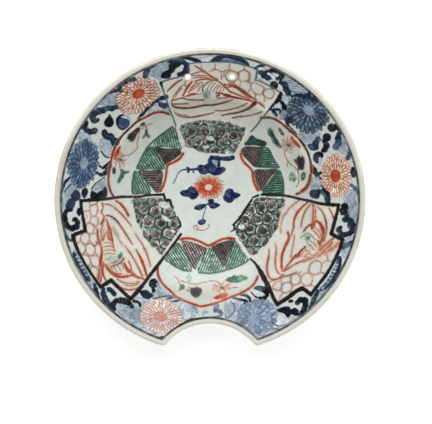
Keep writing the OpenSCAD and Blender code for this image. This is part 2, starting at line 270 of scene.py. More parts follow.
def face_rings(lift, step, turn_step, rim_steps):
    """Rings of one face from the axis out to the lip's round edge."""
    radii = np.arange(step, LAST_CIRCLE_R, step)
    rings = [circle_ring(r, lift, turns_at(r, turn_step)) for r in radii]
    end = edge_radius(ANGLES, EDGE_INSET)
    count = turns_at(LIP_R, turn_step)
    for i in range(rim_steps):
        r = LAST_CIRCLE_R + i / rim_steps * (end - LAST_CIRCLE_R)
        rings.append(circle_ring(r[:: TURNS // count], lift, count))
    return rings


def ring_faces(first, count, next_first, next_count):
    """Faces between a ring and the next one out, which has as many points, or twice or half."""
    i = np.arange(min(count, next_count))
    j = (i + 1) % len(i)
    if count == next_count:
        return np.stack([first + i, next_first + i, next_first + j, first + j], -1).tolist()
    if next_count == 2 * count:
        a, b = first + i, first + j
        f0, f1, f2 = next_first + 2 * i, next_first + 2 * i + 1, next_first + 2 * j
        parts = [(a, f0, f1), (a, f1, b), (b, f1, f2)]
    else:
        a, b = next_first + i, next_first + j
        f0, f1, f2 = first + 2 * i, first + 2 * i + 1, first + 2 * j
        parts = [(f0, a, f1), (a, b, f1), (b, f2, f1)]
    return [face for part in parts for face in np.stack(part, -1).tolist()]


def ring_object(name, rings, centre=None, flip=False):
    """A mesh through rings of points given in millimetres, from the axis outwards."""
    points, faces, first = [], [], 0
    if centre is not None:
        points.append([centre])
        n = len(rings[0])
        faces += [(0, 1 + i, 1 + (i + 1) % n) for i in range(n)]
        first = 1
    for k, ring in enumerate(rings):
        points.append(ring)
        if k + 1 < len(rings):
            faces += ring_faces(first, len(ring), first + len(ring), len(rings[k + 1]))
        first += len(ring)
    if flip:
        faces = [face[::-1] for face in faces]
    mesh = bpy.data.meshes.new(name)
    mesh.from_pydata((np.concatenate(points) * MM).tolist(), [], faces)
    piece = bpy.data.objects.new(name, mesh)
    bpy.context.scene.collection.objects.link(piece)
    return piece


def cut_holes(piece, lift):
    """Opens the cord holes in one face, with a rounded edge and a wall down to the mid depth."""
    made = bmesh.new()
    made.from_mesh(piece.data)
    mouth = (HOLE_R + HOLE_ROUND) * MM
    nearby = 1.6 * mouth

    def on_face(v):
        return height_at(v.co.xy.length / MM, lift) * MM

    for hx, hy in HOLES:
        centre = Vector((hx * MM, hy * MM))
        gone = [v for v in made.verts if (v.co.xy - centre).length < mouth]
        bmesh.ops.delete(made, geom=gone, context="VERTS")
        near = {v for v in made.verts if (v.co.xy - centre).length < nearby}
        edge = [e for e in made.edges if e.is_boundary and all(v in near for v in e.verts)]
        for v in {v for e in edge for v in e.verts}:
            v.co.xy = centre + (v.co.xy - centre).normalized() * mouth
            v.co.z = on_face(v)
        for out, down in HOLE_ROWS:
            grown = bmesh.ops.extrude_edge_only(made, edges=edge)["geom"]
            edge = [g for g in grown if isinstance(g, bmesh.types.BMEdge)]
            for v in (g for g in grown if isinstance(g, bmesh.types.BMVert)):
                away = (v.co.xy - centre).normalized()
                v.co.xy = centre + away * (HOLE_R + out * HOLE_ROUND) * MM
                v.co.z = on_face(v) - math.copysign(down, lift) * MM
    made.to_mesh(piece.data)
    made.free()


def points_of(mesh):
    """A mesh's points in millimetres."""
    co = np.empty(len(mesh.vertices) * 3, np.float32)
    mesh.vertices.foreach_get("co", co)
    return co.reshape(-1, 3).astype(float) / MM


def finish_mesh(piece, material, slot, *nodes):
    """Smooth shading, a flat map for baking and a material; hides the CAD nodes that the piece stands for.
    """
    mesh = piece.data
    mesh.polygons.foreach_set("use_smooth", np.ones(len(mesh.polygons), bool))
    corner = np.empty(len(mesh.loops), np.int32)
    mesh.loops.foreach_get("vertex_index", corner)
    flat = 0.5 + points_of(mesh)[corner, :2] / (BAKE_SPAN * LIP_R)
    mesh.uv_layers.new(name="OFBake").uv.foreach_set("vector", flat.astype(np.float32).ravel())
    mesh.materials.append(material)
    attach(piece, "root")
    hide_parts(*nodes)


def on_photo(points):
    """Where points in millimetres fall in the photograph, in its pixels."""
    seen = points - EYE
    scale = EYE_DISTANCE * PX_PER_MM / -(seen @ TOWARDS_EYE)
    x = LIP_CENTRE_PX[0] + seen[:, 0] * scale
    y = LIP_CENTRE_PX[1] - seen @ PICTURE_UP * scale
    return np.stack([x, y], -1)


# Painting: colours as fired, in sRGB, with one shaded cream for painted shade on the lip

GROUND = (219, 226, 221)
CREAM = (226, 222, 209)
# Painted shade on the lip's cream band
CREAM_SHADED = (150, 149, 137)
BORDER_INK = (38, 41, 48)
BORDER_BLEED = (204, 208, 207)
INK = (10, 15, 23)
COBALT = (26, 39, 58)
COBALT_MID = (58, 80, 108)
COBALT_SOFT = (104, 124, 152)
COBALT_PALE = (164, 179, 190)
BLACK = (27, 24, 22)
SLATE = (84, 95, 110)
HATCH_BLUE = (88, 107, 132)
RIB_PALE = (190, 203, 216)
IRON = (160, 64, 38)
IRON_DARK = (116, 38, 26)
IRON_SOFT = (160, 91, 67)
IRON_FAINT = (178, 124, 102)
NET_RED = (176, 141, 130)
NET_ROSE = (170, 129, 115)
NET_BROWN = (152, 117, 103)
OLIVE = (122, 114, 90)
FEATHER = (142, 120, 101)
STIPPLE = (118, 126, 118)
PEACH = (228, 186, 166)
BLUSH = (222, 178, 168)
PINK_HEART = (74, 110, 88)
GREEN = (14, 70, 53)
GREEN_SOFT = (70, 116, 98)
AUBERGINE = (53, 40, 40)
BAND_GREEN = (104, 156, 136)
BAND_LINE = (52, 62, 58)
BROCADE_GROUND = (74, 87, 79)
BROCADE_NET = (28, 58, 47)
BROCADE_NET_PALE = (186, 194, 185)
BROCADE_DASHES = ((18, 32, 28), (214, 219, 210), (36, 70, 57))
CELL = (136, 114, 112)
CELL_RING = (216, 221, 212)
CENTRE_BLUE = (24, 36, 78)
CENTRE_BLUE_DARK = (16, 22, 46)
CENTRE_WASH = (104, 126, 170)
CENTRE_HEART = (228, 212, 192)
WHITE = (222, 226, 220)

# Thickness of the paint in millimetres: none under the glaze, and two sorts of enamel over it.
FLAT = 0.0
THIN = 0.03
THICK = 0.12

# The sheet has FINE dots to a photo pixel. The brush is moved in steps of photo pixels.
FINE = 5
STROKE_STEP = 0.35
LOBE_PITCH = 4.4
WOBBLE = 0.13
WOBBLE_STEPS = 6
HATCH_WANDER = 0.35
NET_WANDER = 0.3
SLIT_L = 0.09
POOLING = 0.6
rng = np.random.default_rng(7)


def dots(path):
    """Points of a path, which is an array or is written as "x,y x,y"."""
    if isinstance(path, str):
        return np.array([[float(n) for n in dot.split(",")] for dot in path.split()])
    return path


def spline_span(p0, p1, p2, p3, step):
    """Points from p1 up to p2 on a smooth curve that passes through all four."""
    count = max(2, int(np.linalg.norm(p2 - p1) / step))
    t = np.linspace(0, 1, count, endpoint=False)[:, None]
    square = (2 * p0 - 5 * p1 + 4 * p2 - p3) * t**2
    cube = (3 * p1 - p0 - 3 * p2 + p3) * t**3
    return 0.5 * (2 * p1 + (p2 - p0) * t + square + cube)


def curve(points, closed=False, step=STROKE_STEP):
    """A smooth curve through the points, in even small steps."""
    line = points
    if len(points) > 2:
        if closed:
            ends = np.concatenate([points[-1:], points, points[:2]])
        else:
            before, after = 2 * points[:1] - points[1:2], 2 * points[-1:] - points[-2:-1]
            ends = np.concatenate([before, points, after])
        spans = [spline_span(*four, step) for four in zip(ends, ends[1:], ends[2:], ends[3:])]
        line = np.concatenate(spans if closed else [*spans, points[-1:]])
    along = np.concatenate([[0], np.cumsum(np.linalg.norm(np.diff(line, axis=0), axis=1))])
    even = np.linspace(0, along[-1], max(2, int(along[-1] / step) + 1))
    return np.stack([np.interp(even, along, line[:, k]) for k in (0, 1)], -1)


def ellipse(cx, cy, rx, ry, tilt=0.0, count=28):
    """Points round an ellipse, with its tilt in degrees."""
    a = np.arange(count) * 2 * math.pi / count
    c, s = math.cos(math.radians(tilt)), math.sin(math.radians(tilt))
    x, y = rx * np.cos(a), ry * np.sin(a)
    return np.stack([cx + x * c - y * s, cy + x * s + y * c], -1)


def smooth(t):
    """Eases a share from 0 to 1 at both ends."""
    return t * t * (3 - 2 * t)


def step_between(a, b, x):
    """Smooth step: 0 where x is at a or before it, 1 where it is at b or past it."""
    return smooth(np.clip((x - a) / (b - a), 0, 1))


def soft_edge(depth):
    """Cover from 0 to 1 across an edge two dots wide. Depth is in photo pixels, in from the edge."""
    return np.clip(depth * FINE / 2 + 0.5, 0, 1)


def soft_noise(cell, seed):
    """Smooth noise from -1 to 1 over the sheet, with features about cell photo pixels wide."""
    high, wide = int(PHOTO_H / cell) + 2, int(PHOTO_W / cell) + 2
    grid = np.random.default_rng(seed).uniform(-1, 1, (high, wide))
    x = np.arange(PHOTO_W * FINE) / FINE / cell
    y = np.arange(PHOTO_H * FINE) / FINE / cell
    across = np.stack([np.interp(x, np.arange(wide), row) for row in grid])
    i = np.minimum(y.astype(int), high - 2)
    t = smooth((y - i)[:, None])
    return (across[i] * (1 - t) + across[i + 1] * t).astype(np.float32)


class FlowerKind(NamedTuple):
    """How a kind of rim flower is brushed."""

    rings: tuple  # petals and reach of each ring, from the outer one in
    petal_w: float
    edge_w: float
    strength: float
    vary: float
    slits: tuple  # count, reach and colour of the strokes between petals
    heart: dict  # how the heart is filled


class Flower(NamedTuple):
    """A rim flower in photo pixels and degrees. Its heart may lie off its middle."""

    kind: FlowerKind
    middle: tuple
    radii: tuple
    tilt: float
    heart: tuple
    heart_shape: tuple  # radii and tilt
    petal: tuple
    edge: tuple
    bed: tuple = ()  # radii and colour of the wash under the petals


class Sheet:
    """The flat painting: colour and enamel thickness at FINE dots to a photo pixel."""

    def __init__(self):
        shape = (PHOTO_H * FINE, PHOTO_W * FINE)
        self.colour = np.full((*shape, 3), GROUND, np.float32)
        self.relief = np.zeros(shape, np.float32)
        self.mottle = 0.6 * soft_noise(cell=1.7, seed=1) + 0.4 * soft_noise(cell=6.0, seed=2)
        self.pooling = 0.6 * soft_noise(cell=3.2, seed=3) + 0.4 * soft_noise(cell=1.2, seed=4)

    def window(self, points, reach):
        """The part of the sheet round some points, and its columns' x and rows' y."""
        low = np.maximum(np.floor((points.min(0) - reach) * FINE).astype(int), 0)
        high = np.ceil((points.max(0) + reach) * FINE).astype(int) + 1
        where = (slice(low[1], high[1]), slice(low[0], high[0]))
        rows, columns = self.relief[where].shape
        return where, (low[0] + np.arange(columns)) / FINE, (low[1] + np.arange(rows)) / FINE

    def lay(self, where, cover, colour, strength, relief, uneven):
        """Lays colour where cover is 1, thinner and thicker by the brush's uneven load."""
        load = cover * np.clip(strength * (1 + uneven * self.mottle[where]), 0, 1)
        pooled = 1 - POOLING * uneven * self.pooling[where]
        tone = np.array(colour, np.float32) * pooled[..., None]
        self.colour[where] += load[..., None] * (tone - self.colour[where])
        self.relief[where] += cover * (relief * strength - self.relief[where])

    def brush(
        self, path, width, colour, strength=1.0, relief=THIN, uneven=0.25, closed=False, lobes=0.0
    ):
        """A brush stroke. Width is one number, or several spread evenly along the path.

        Lobes, above 0, is the share by which the stroke swells and narrows along its length.
        """
        line = curve(dots(path), closed)
        steps = np.arange(len(line))
        widths = np.resize(np.array(width, float), max(2, np.size(width)))
        share = np.linspace(0, 1, len(line))
        radius = np.interp(share, np.linspace(0, 1, len(widths)), widths) / 2
        radius *= 1 + lobes * np.cos(steps * STROKE_STEP * 2 * math.pi / LOBE_PITCH)
        wobble = rng.uniform(-1, 1, len(line) // WOBBLE_STEPS + 2)
        radius *= 1 + WOBBLE * np.interp(steps / WOBBLE_STEPS, np.arange(len(wobble)), wobble)
        where, xs, ys = self.window(line, radius.max() + 1)
        cover = np.zeros((len(ys), len(xs)), np.float32)
        for (x, y), r in zip(line, radius):
            i0, i1 = np.searchsorted(ys, (y - r - 0.5, y + r + 0.5))
            j0, j1 = np.searchsorted(xs, (x - r - 0.5, x + r + 0.5))
            gap = np.hypot(xs[None, j0:j1] - x, ys[i0:i1, None] - y)
            spot = cover[i0:i1, j0:j1]
            np.maximum(spot, soft_edge(r - gap), out=spot)
        self.lay(where, cover, colour, strength, relief, uneven)

    def mask(self, outline):
        """Window and cover of a closed outline."""
        where, xs, ys = self.window(outline, 1)
        odd = np.zeros((len(ys), len(xs)), bool)
        for (x0, y0), (x1, y1) in zip(outline, np.roll(outline, -1, 0)):
            i0, i1 = np.searchsorted(ys, (min(y0, y1), max(y0, y1)))
            if i1 > i0:
                at = x0 + (ys[i0:i1] - y0) * (x1 - x0) / (y1 - y0)
                odd[i0:i1] ^= xs[None, :] < at[:, None]
        return where, xs, ys, odd.astype(np.float32)

    def fill(
        self, path, colour, strength=1.0, relief=THIN, uneven=0.25, edge=None, edge_w=0.8, sharp=False
    ):
        """A filled shape, with a stroke round it where edge gives a colour."""
        outline = dots(path) if sharp else curve(dots(path), closed=True)
        where, _, _, cover = self.mask(outline)
        self.lay(where, cover, colour, strength, relief, uneven)
        if edge is not None:
            self.brush(np.concatenate([outline, outline[:1]]), edge_w, edge, strength, relief)

    def hatch(self, path, angle, pitch, width, colour, strength=1.0, relief=THIN, uneven=0.4):
        """Fine parallel lines inside a shape. The angle is of the lines, in degrees."""
        where, xs, ys, cover = self.mask(curve(dots(path), closed=True))
        c, s = math.cos(math.radians(angle)), math.sin(math.radians(angle))
        across = xs[None, :] * s - ys[:, None] * c + HATCH_WANDER * self.mottle[where]
        off = np.abs((across / pitch) % 1 - 0.5) * pitch
        lines = cover * soft_edge(width / 2 - off)
        self.lay(where, lines.astype(np.float32), colour, strength, relief, uneven)

    def net(self, outline, centres, width, colour, strength, uneven):
        """A honeycomb inside an outline: lines midway between neighbouring cell centres."""
        where, xs, ys, cover = self.mask(dots(outline))
        gap = (xs[None, :, None] - centres[:, 0]) ** 2 + (ys[:, None, None] - centres[:, 1]) ** 2
        pair = np.argsort(gap, -1)[..., :2]
        near, far = np.moveaxis(np.take_along_axis(gap, pair, -1), -1, 0)
        apart = np.linalg.norm(centres[pair[..., 0]] - centres[pair[..., 1]], axis=-1)
        off = (far - near) / (2 * apart) + NET_WANDER * self.mottle[where]
        lines = cover * soft_edge(width / 2 - off)
        self.lay(where, lines.astype(np.float32), colour, strength, THIN, uneven)

    def petals(self, flower, count, reach, turn):
        """A ring of outlined petals between two shares of the way from a flower's heart to its edge."""
        kind = flower.kind
        middle, heart = np.array(flower.middle), np.array(flower.heart)
        c, s = math.cos(math.radians(flower.tilt)), math.sin(math.radians(flower.tilt))

        def at(share, a):
            x, y = flower.radii[0] * math.cos(a), flower.radii[1] * math.sin(a)
            tip = middle + (x * c - y * s, x * s + y * c)
            return heart + share * (tip - heart)

        # Half a petal's outline: shares of its length, and of its width
        rows = ((0, 0.4), (0.5, 0.95), (0.86, 0.7))
        spread = kind.petal_w * math.pi / count
        for i in range(count):
            a = (i + turn + rng.uniform(-0.18, 0.18)) * 2 * math.pi / count
            near, far = reach[0], reach[1] * rng.uniform(0.94, 1.04)
            shape = [at(near + (far - near) * t, a - k * spread) for t, k in rows] + [at(far, a)]
            shape += [at(near + (far - near) * t, a + k * spread) for t, k in rows[::-1]]
            tone = np.array(flower.petal) * rng.uniform(1 - 1.2 * kind.vary, 1 + 0.8 * kind.vary)
            edge_w = kind.edge_w * rng.uniform(0.7, 1.25)
            self.fill(np.array(shape), tone, kind.strength, THIN, 0.35, flower.edge, edge_w)

    def slits(self, flower, count, reach, colour):
        """Short dark strokes between petals."""
        heart = np.array(flower.heart)
        tips = ellipse(*flower.middle, *flower.radii, flower.tilt, count * 3)
        for tip in tips[rng.permutation(len(tips))[:count]]:
            share = rng.uniform(*reach)
            ends = np.array([heart + k * (tip - heart) for k in (share, share + SLIT_L)])
            self.brush(ends, (0.5, 0.9), colour, strength=0.6, uneven=0.4)

    def flower(self, flower):
        """A many-petalled flower: a wash, rings of petals, dark slits and a heart."""
        if flower.bed:
            radii, colour = flower.bed
            self.fill(ellipse(*flower.middle, *radii, flower.tilt), colour, strength=0.9)
        for (count, reach), turn in zip(flower.kind.rings, (0.5, 0.0, 0.5)):
            self.petals(flower, count, reach, turn)
        if flower.kind.slits:
            self.slits(flower, *flower.kind.slits)
        self.fill(ellipse(*flower.heart, *flower.heart_shape), **flower.kind.heart)

    def fray(self, path, colour):
        """Short strokes over a leaf's edge, as a loaded brush leaves them."""
        outline = curve(dots(path), closed=True, step=1.1)
        middle = outline.mean(0)
        for point in outline:
            near, far = rng.uniform(0.5, 0.8), rng.uniform(0.98, 1.22)
            ends = middle + np.outer((near, far), point - middle) + rng.uniform(-0.4, 0.4, 2)
            tone = np.multiply(colour, rng.uniform(0.75, 1.35))
            self.brush(ends, (0.9, 0.5), tone, strength=0.7, relief=THICK, uneven=0.4)

    def cell(self, cx, cy, rx, ry, tilt):
        """An uneven brocade cell: a broken white ring round a heart that darkens to one side."""
        shape = ellipse(cx, cy, rx, ry, tilt, 8) + rng.uniform(-0.55, 0.55, (8, 2))
        middle = np.array([cx, cy])
        ring = middle + (shape - middle) * 1.1
        self.brush(ring, 1.0, CELL_RING, strength=0.55, relief=THICK, uneven=1.2, closed=True)
        tone = np.array(CELL) * rng.choice((0.66, 0.86, 1.02))
        self.fill(shape, tone, strength=0.97, relief=THICK, uneven=0.55)
        low = middle + (0.16 * rx, 0.2 * ry) + (shape - middle) * 0.66
        self.fill(low, tone * 0.5, strength=0.62, relief=THICK, uneven=0.7)

    def brocade(self, outline, cells, worn):
        """Cells in a green net, with short dashes, and the white ground bare in worn places."""
        cells = dots(cells)
        self.fill(outline, BROCADE_GROUND, strength=0.95, relief=THICK, uneven=0.7)
        self.net(outline, cells[:, :2], 3.2, BROCADE_NET_PALE, strength=0.62, uneven=1.0)
        self.net(outline, cells[:, :2], 2.0, BROCADE_NET, strength=0.95, uneven=0.5)
        for cell in cells:
            self.cell(*cell)
        _, xs, ys, inside = self.mask(curve(dots(outline), closed=True))
        area_per_dash, length = 5, 2.4
        for _ in range(int(inside.sum() / FINE**2 / area_per_dash)):
            i, j = rng.integers(len(ys)), rng.integers(len(xs))
            if inside[i, j]:
                turn = rng.uniform(0, 2 * math.pi)
                start = np.array([xs[j], ys[i]])
                ends = np.stack([start, start + (length * math.cos(turn), length * math.sin(turn))])
                colour = BROCADE_DASHES[rng.integers(len(BROCADE_DASHES))]
                self.brush(ends, (0.5, 0.9), colour, strength=0.75, relief=THICK, uneven=0.4)
        for path in worn:
            self.fill(path, WHITE, strength=0.9, uneven=0.4)


sheet = Sheet()

# Tone of the bare glaze: bluish on the rim, warmer in the fans. Painted shade darkens the upper rim and
# the top fan, and painted light and shade change some grounds down the picture
RIM_GROUND = (
    "209,40 290,60 350,115 372,200 350,290 290,340 209,362 130,340 68,290 46,200 68,115 130,60"
)
RIM_TONE = (212, 217, 215)
# Painted shade: the rim's darker tone towards the top, and the y over which it comes in
RIM_TOP_SHADE_TONE = (203, 208, 203)
RIM_SHADE_RAMP = (235, 150)
BOTTOM_PANEL_GROUND = (
    "158,267 161,281 176,297 200,306 224,300 251,287 258,276 250,258 236,236 209,230 182,234"
)
TOP_FAN_GROUND = (
    "160.5,82 189,74 188.5,64 215,62 257,68.5 255,79.5 280.5,93 251,131.5 212,119 176,126"
)
GROUNDS = [
    (
        (213, 218, 211),
        "168,113 158,112 137,121 117,143 110,167 109,185 114,197 150,196 181,190 185,150 176,126",
    ),
    (
        (218, 222, 214),
        "262,118 274,119 296,136 308,153 311,171 307,187 296,194 262,194 240,190 236,150 251,131",
    ),
    ((215, 221, 217), BOTTOM_PANEL_GROUND),
    (GROUND, "176,126 212,119 251,131 285,195 262,250 209,275 160,255 133,195"),
    # The top fan's ground is painted darker, as shade
    ((202, 204, 195), TOP_FAN_GROUND),
    (
        (218, 219, 212),
        "163,195 120,197 81,201 85,231 72.5,235.5 81,257 100,287 111,280 130,298.5 181,234 172,206",
    ),
    (
        (221, 222, 216),
        "263,195 300,199 338.5,205 331,233.5 342.5,239 332,265 311,295 302,287.5 278.5,303.5 "
        "250,258 235,237 240,218",
    ),
]
# Painted light and shade on grounds whose tone changes down the picture: from and to which y, and by what
# share of each colour. The top fan is painted lighter lower down; the bottom panel has a painted highlight
# above and painted shade below
GROUND_LIGHT_AND_SHADE = [
    (TOP_FAN_GROUND, (90, 116), (0.09, 0.09, 0.09)),
    (BOTTOM_PANEL_GROUND, (275, 297), (-0.07, -0.1, -0.125)),
]


def paint_grounds():
    def tone(path, colour):
        sheet.fill(path, colour, 1.0, FLAT, 0.05, sharp=True)

    tone(RIM_GROUND, RIM_TONE)
    # Painted shade: the rim darkens towards the top of the picture
    upper = step_between(*RIM_SHADE_RAMP, np.arange(PHOTO_H * FINE) / FINE)[:, None, None]
    sheet.colour += upper * (np.array(RIM_TOP_SHADE_TONE, np.float32) - sheet.colour)
    for colour, path in GROUNDS:
        tone(path, colour)
    # Painted light and shade down the top fan and the bottom panel
    for path, change, share in GROUND_LIGHT_AND_SHADE:
        where, _, ys, cover = sheet.mask(dots(path))
        reached = cover * step_between(*change, ys)[:, None]
        sheet.colour[where] *= 1 + reached[..., None] * np.array(share)


# Rim flowers
RED = FlowerKind(
    rings=((34, (0.55, 1.0)), (27, (0.4, 0.8)), (18, (0.18, 0.56))),
    petal_w=0.94,
    edge_w=0.72,
    strength=0.94,
    vary=0.08,
    slits=(22, (0.42, 0.92), (82, 50, 40)),
    heart=dict(colour=(176, 65, 38), relief=THICK, uneven=0.3, edge=(142, 51, 32)),
)
FADED_RED = FlowerKind(
    rings=((32, (0.55, 1.0)), (26, (0.4, 0.8)), (18, (0.2, 0.56))),
    petal_w=0.94,
    edge_w=0.75,
    strength=0.9,
    vary=0.08,
    slits=(),
    heart=dict(colour=(208, 150, 140), relief=THICK, uneven=0.25, edge=(184, 124, 116)),
)
BLUE = FlowerKind(
    rings=((25, (0.5, 1.03)), (20, (0.36, 0.8)), (13, (0.2, 0.54))),
    petal_w=0.95,
    edge_w=1.0,
    strength=0.85,
    vary=0.24,
    slits=(16, (0.4, 0.9), COBALT),
    heart=dict(colour=(136, 150, 172)),
)
FADED_BLUE = FlowerKind(
    rings=((18, (0.5, 1.0)), (15, (0.36, 0.8)), (11, (0.22, 0.56))),
    petal_w=0.95,
    edge_w=1.0,
    strength=0.8,
    vary=0.16,
    slits=(),
    heart=dict(colour=(152, 168, 188)),
)
FLOWERS = [
    Flower(
        RED, middle=(137.6, 95.6), radii=(23.4, 18.0), tilt=-22, heart=(138.5, 93.6),
        heart_shape=(5.6, 3.9, -25), petal=(232, 208, 192), edge=(128, 72, 54),
    ),
    Flower(
        RED, middle=(336.1, 176.0), radii=(15.6, 21.8), tilt=0, heart=(335.4, 175.8),
        heart_shape=(4.5, 6.0, -8), petal=(235, 217, 200), edge=(164, 86, 63),
    ),
    Flower(
        FADED_RED, middle=(161.7, 316.8), radii=(22.0, 17.2), tilt=4, heart=(160.8, 316.3),
        heart_shape=(6.2, 4.4, 15), petal=(240, 227, 220), edge=(188, 136, 126),
    ),
    Flower(
        BLUE, middle=(83.4, 163.4), radii=(15.2, 24.0), tilt=12, heart=(84.1, 163.5),
        heart_shape=(3.9, 6.2, 10), petal=(104, 127, 154), edge=(44, 63, 92),
        bed=((13.68, 21.6), (44, 63, 92)),
    ),
    Flower(
        BLUE, middle=(307.6, 113.0), radii=(22.4, 19.0), tilt=30, heart=(308.7, 110.5),
        heart_shape=(6.4, 4.5, 35), petal=(108, 127, 147), edge=(36, 50, 68),
        bed=((20.16, 17.1), (36, 50, 68)),
    ),
    Flower(
        FADED_BLUE, middle=(257.0, 316.0), radii=(20.5, 17.6), tilt=-8, heart=(254.0, 318.6),
        heart_shape=(6.0, 5.0, 0), petal=(160, 177, 196), edge=(106, 123, 148),
        bed=((19.5, 16.6), (134, 151, 172)),
    ),
]

# Cobalt on the rim, clockwise from the upper left: pale washes with their outlines
RIM_WASHES = [
    (COBALT_PALE, "97,107 103,99 111,93 120,92 116,98 114,106 106,107"),
    (COBALT_PALE, "120,115 128,116 130,122 122,120"),
    (COBALT_PALE, "144,70 152,66 163,62 170,61 170,68 163,74 160,80 152,76 146,78"),
    (COBALT_PALE, "150,108 158,100 166,100 169,111 158,110 149,114"),
    ((200, 206, 213), "182,60 190,58 200,58 210,56 214,58 208,62 196,62 188,64"),
    ((204, 211, 214), "258,67 264,68 270,72 274,76 276,81 270,82 260,80 257,74"),
    (COBALT_PALE, "284,76 294,78 303,86 310,93 300,95 290,96"),
    (COBALT_PALE, "280,97 288,96 290,104 287,118 280,119 272,112"),
    (COBALT_PALE, "300,130 312,131 320,134 316,142 308,146 301,140"),
    (COBALT_PALE, "336,136 343,134 348,146 346,154 338,150"),
    ((140, 160, 167), "313,177.5 317,177.7 319.7,181 320.7,186 318,189.5 311.5,190 312,183"),
    (COBALT_PALE, "344,196 352,190 358,198 358,222 352,220 347,210"),
    (COBALT_PALE, "346,240 354,236 352,250 346,258 342,252"),
    (COBALT_PALE, "312,296 322,287 330,279 337,268 341,262 340,272 332,284 322,295 313,305"),
    (
        (174, 187, 204),
        "226,300 236,298 250,302 262,300 274,305 279,311 275,322 268,332 256,336 244,328 234,322 226,320",
    ),
    ((210, 216, 216), "272,318 275,313 282,312 289,313 294,315.5 291,321 283,325 277,325"),
    ((178, 191, 206), "296,318 304,312 312,305 306,313 290,325 272,333 262,336 270,330 282,326"),
    ((206, 215, 222), "182,302 191,303.5 192,310 191,318 186,320 179,314"),
    ((178, 191, 206), "133,300 142,298 150,300 142,306 139,318 146,326 156,333 150,334 138,327 130,320"),
    (COBALT_PALE, "157,274 162,284 170,292 176,298 164,297 154,299 152,292 158,284"),
    (COBALT_PALE, "116,309 120,305 130,308 140,307 140,318 132,322 124,318"),
    (COBALT_PALE, "133,324 143,321 147,326 138,328"),
    (COBALT_PALE, "74,250 80,258 88,274 97,288 100,300 92,290 83,277 76,264"),
    (COBALT_PALE, "63,188 72,180 80,188 74,196 70,206 64,210"),
    (COBALT_PALE, "63,226 70,232 74,240 68,238"),
    (COBALT_PALE, "92,190 97,184 105,178 106,190 98,194"),
    (COBALT_PALE, "80,133 88,134 90,141 82,142"),
    ((190, 197, 200), "72,133 77,131.5 80,136 79,142 74,144 71,139"),
    ((186, 192, 198), "69.5,146 73,145 75,150 72.5,156 69,153"),
    ((168, 170, 182), "67.5,155 71,155 72,162 70,168 66.8,164"),
    (COBALT_PALE, "101,139 110,141 114,148 111,157 104,156 100,148"),
]
# Hatched washes: outline, the lines' angle, pitch, width and colour
RIM_HATCHES = [
    ("99,105 104,99 111,94 115,97 113,105", 40, 1.6, 0.8, HATCH_BLUE),
    ("148,72 156,66 168,62 168,70 158,78", 65, 1.7, 0.8, HATCH_BLUE),
    ("286,78 296,81 303,87 308,93 294,94", 8, 2.4, 0.9, SLATE),
    ("279,111 288,109 288,118 281,119", 50, 2.0, 1.0, COBALT),
    ("338,141 345,140 346,152 338,149", 50, 2.2, 1.0, HATCH_BLUE),
    ("314,160 322,158 320,166 316,164", 40, 2.0, 0.9, HATCH_BLUE),
    ("345,197 354,192 357,205 356,222 349,214", 75, 2.0, 0.8, HATCH_BLUE),
    ("117,311 122,306 139,308 139,318 128,319", 38, 2.0, 0.8, HATCH_BLUE),
    ("302,132 314,133 318,138 310,143 303,140", 45, 1.8, 0.7, HATCH_BLUE),
    ("64,194 70,184 77,189 70,204", 60, 1.8, 0.8, HATCH_BLUE),
    ("94,190 98,184 104,181 104,188", 62, 1.8, 0.8, HATCH_BLUE),
    ("157,282 164,291 172,297 158,296", 60, 2.2, 0.8, HATCH_BLUE),
    ("102,140 109,142 113,149 110,156 104,154", 65, 2.0, 0.6, (132, 148, 170)),
    ("274,318 279,313.5 288,313.5 293,316 288,322 279,324", 48, 2.4, 0.6, (150, 164, 178)),
    ("224,305 232,304 233,312 226,317", 75, 2.6, 0.6, (168, 182, 194)),
    ("183,304 190,305 192,311 189,318 182,316", 70, 2.6, 0.6, (164, 180, 198)),
    ("314,299 324,288 334,276 338,268 336,278 326,291", 130, 2.4, 0.7, HATCH_BLUE),
    ("76,256 83,270 92,286 96,293 88,284 79,268", 35, 2.2, 0.7, HATCH_BLUE),
]
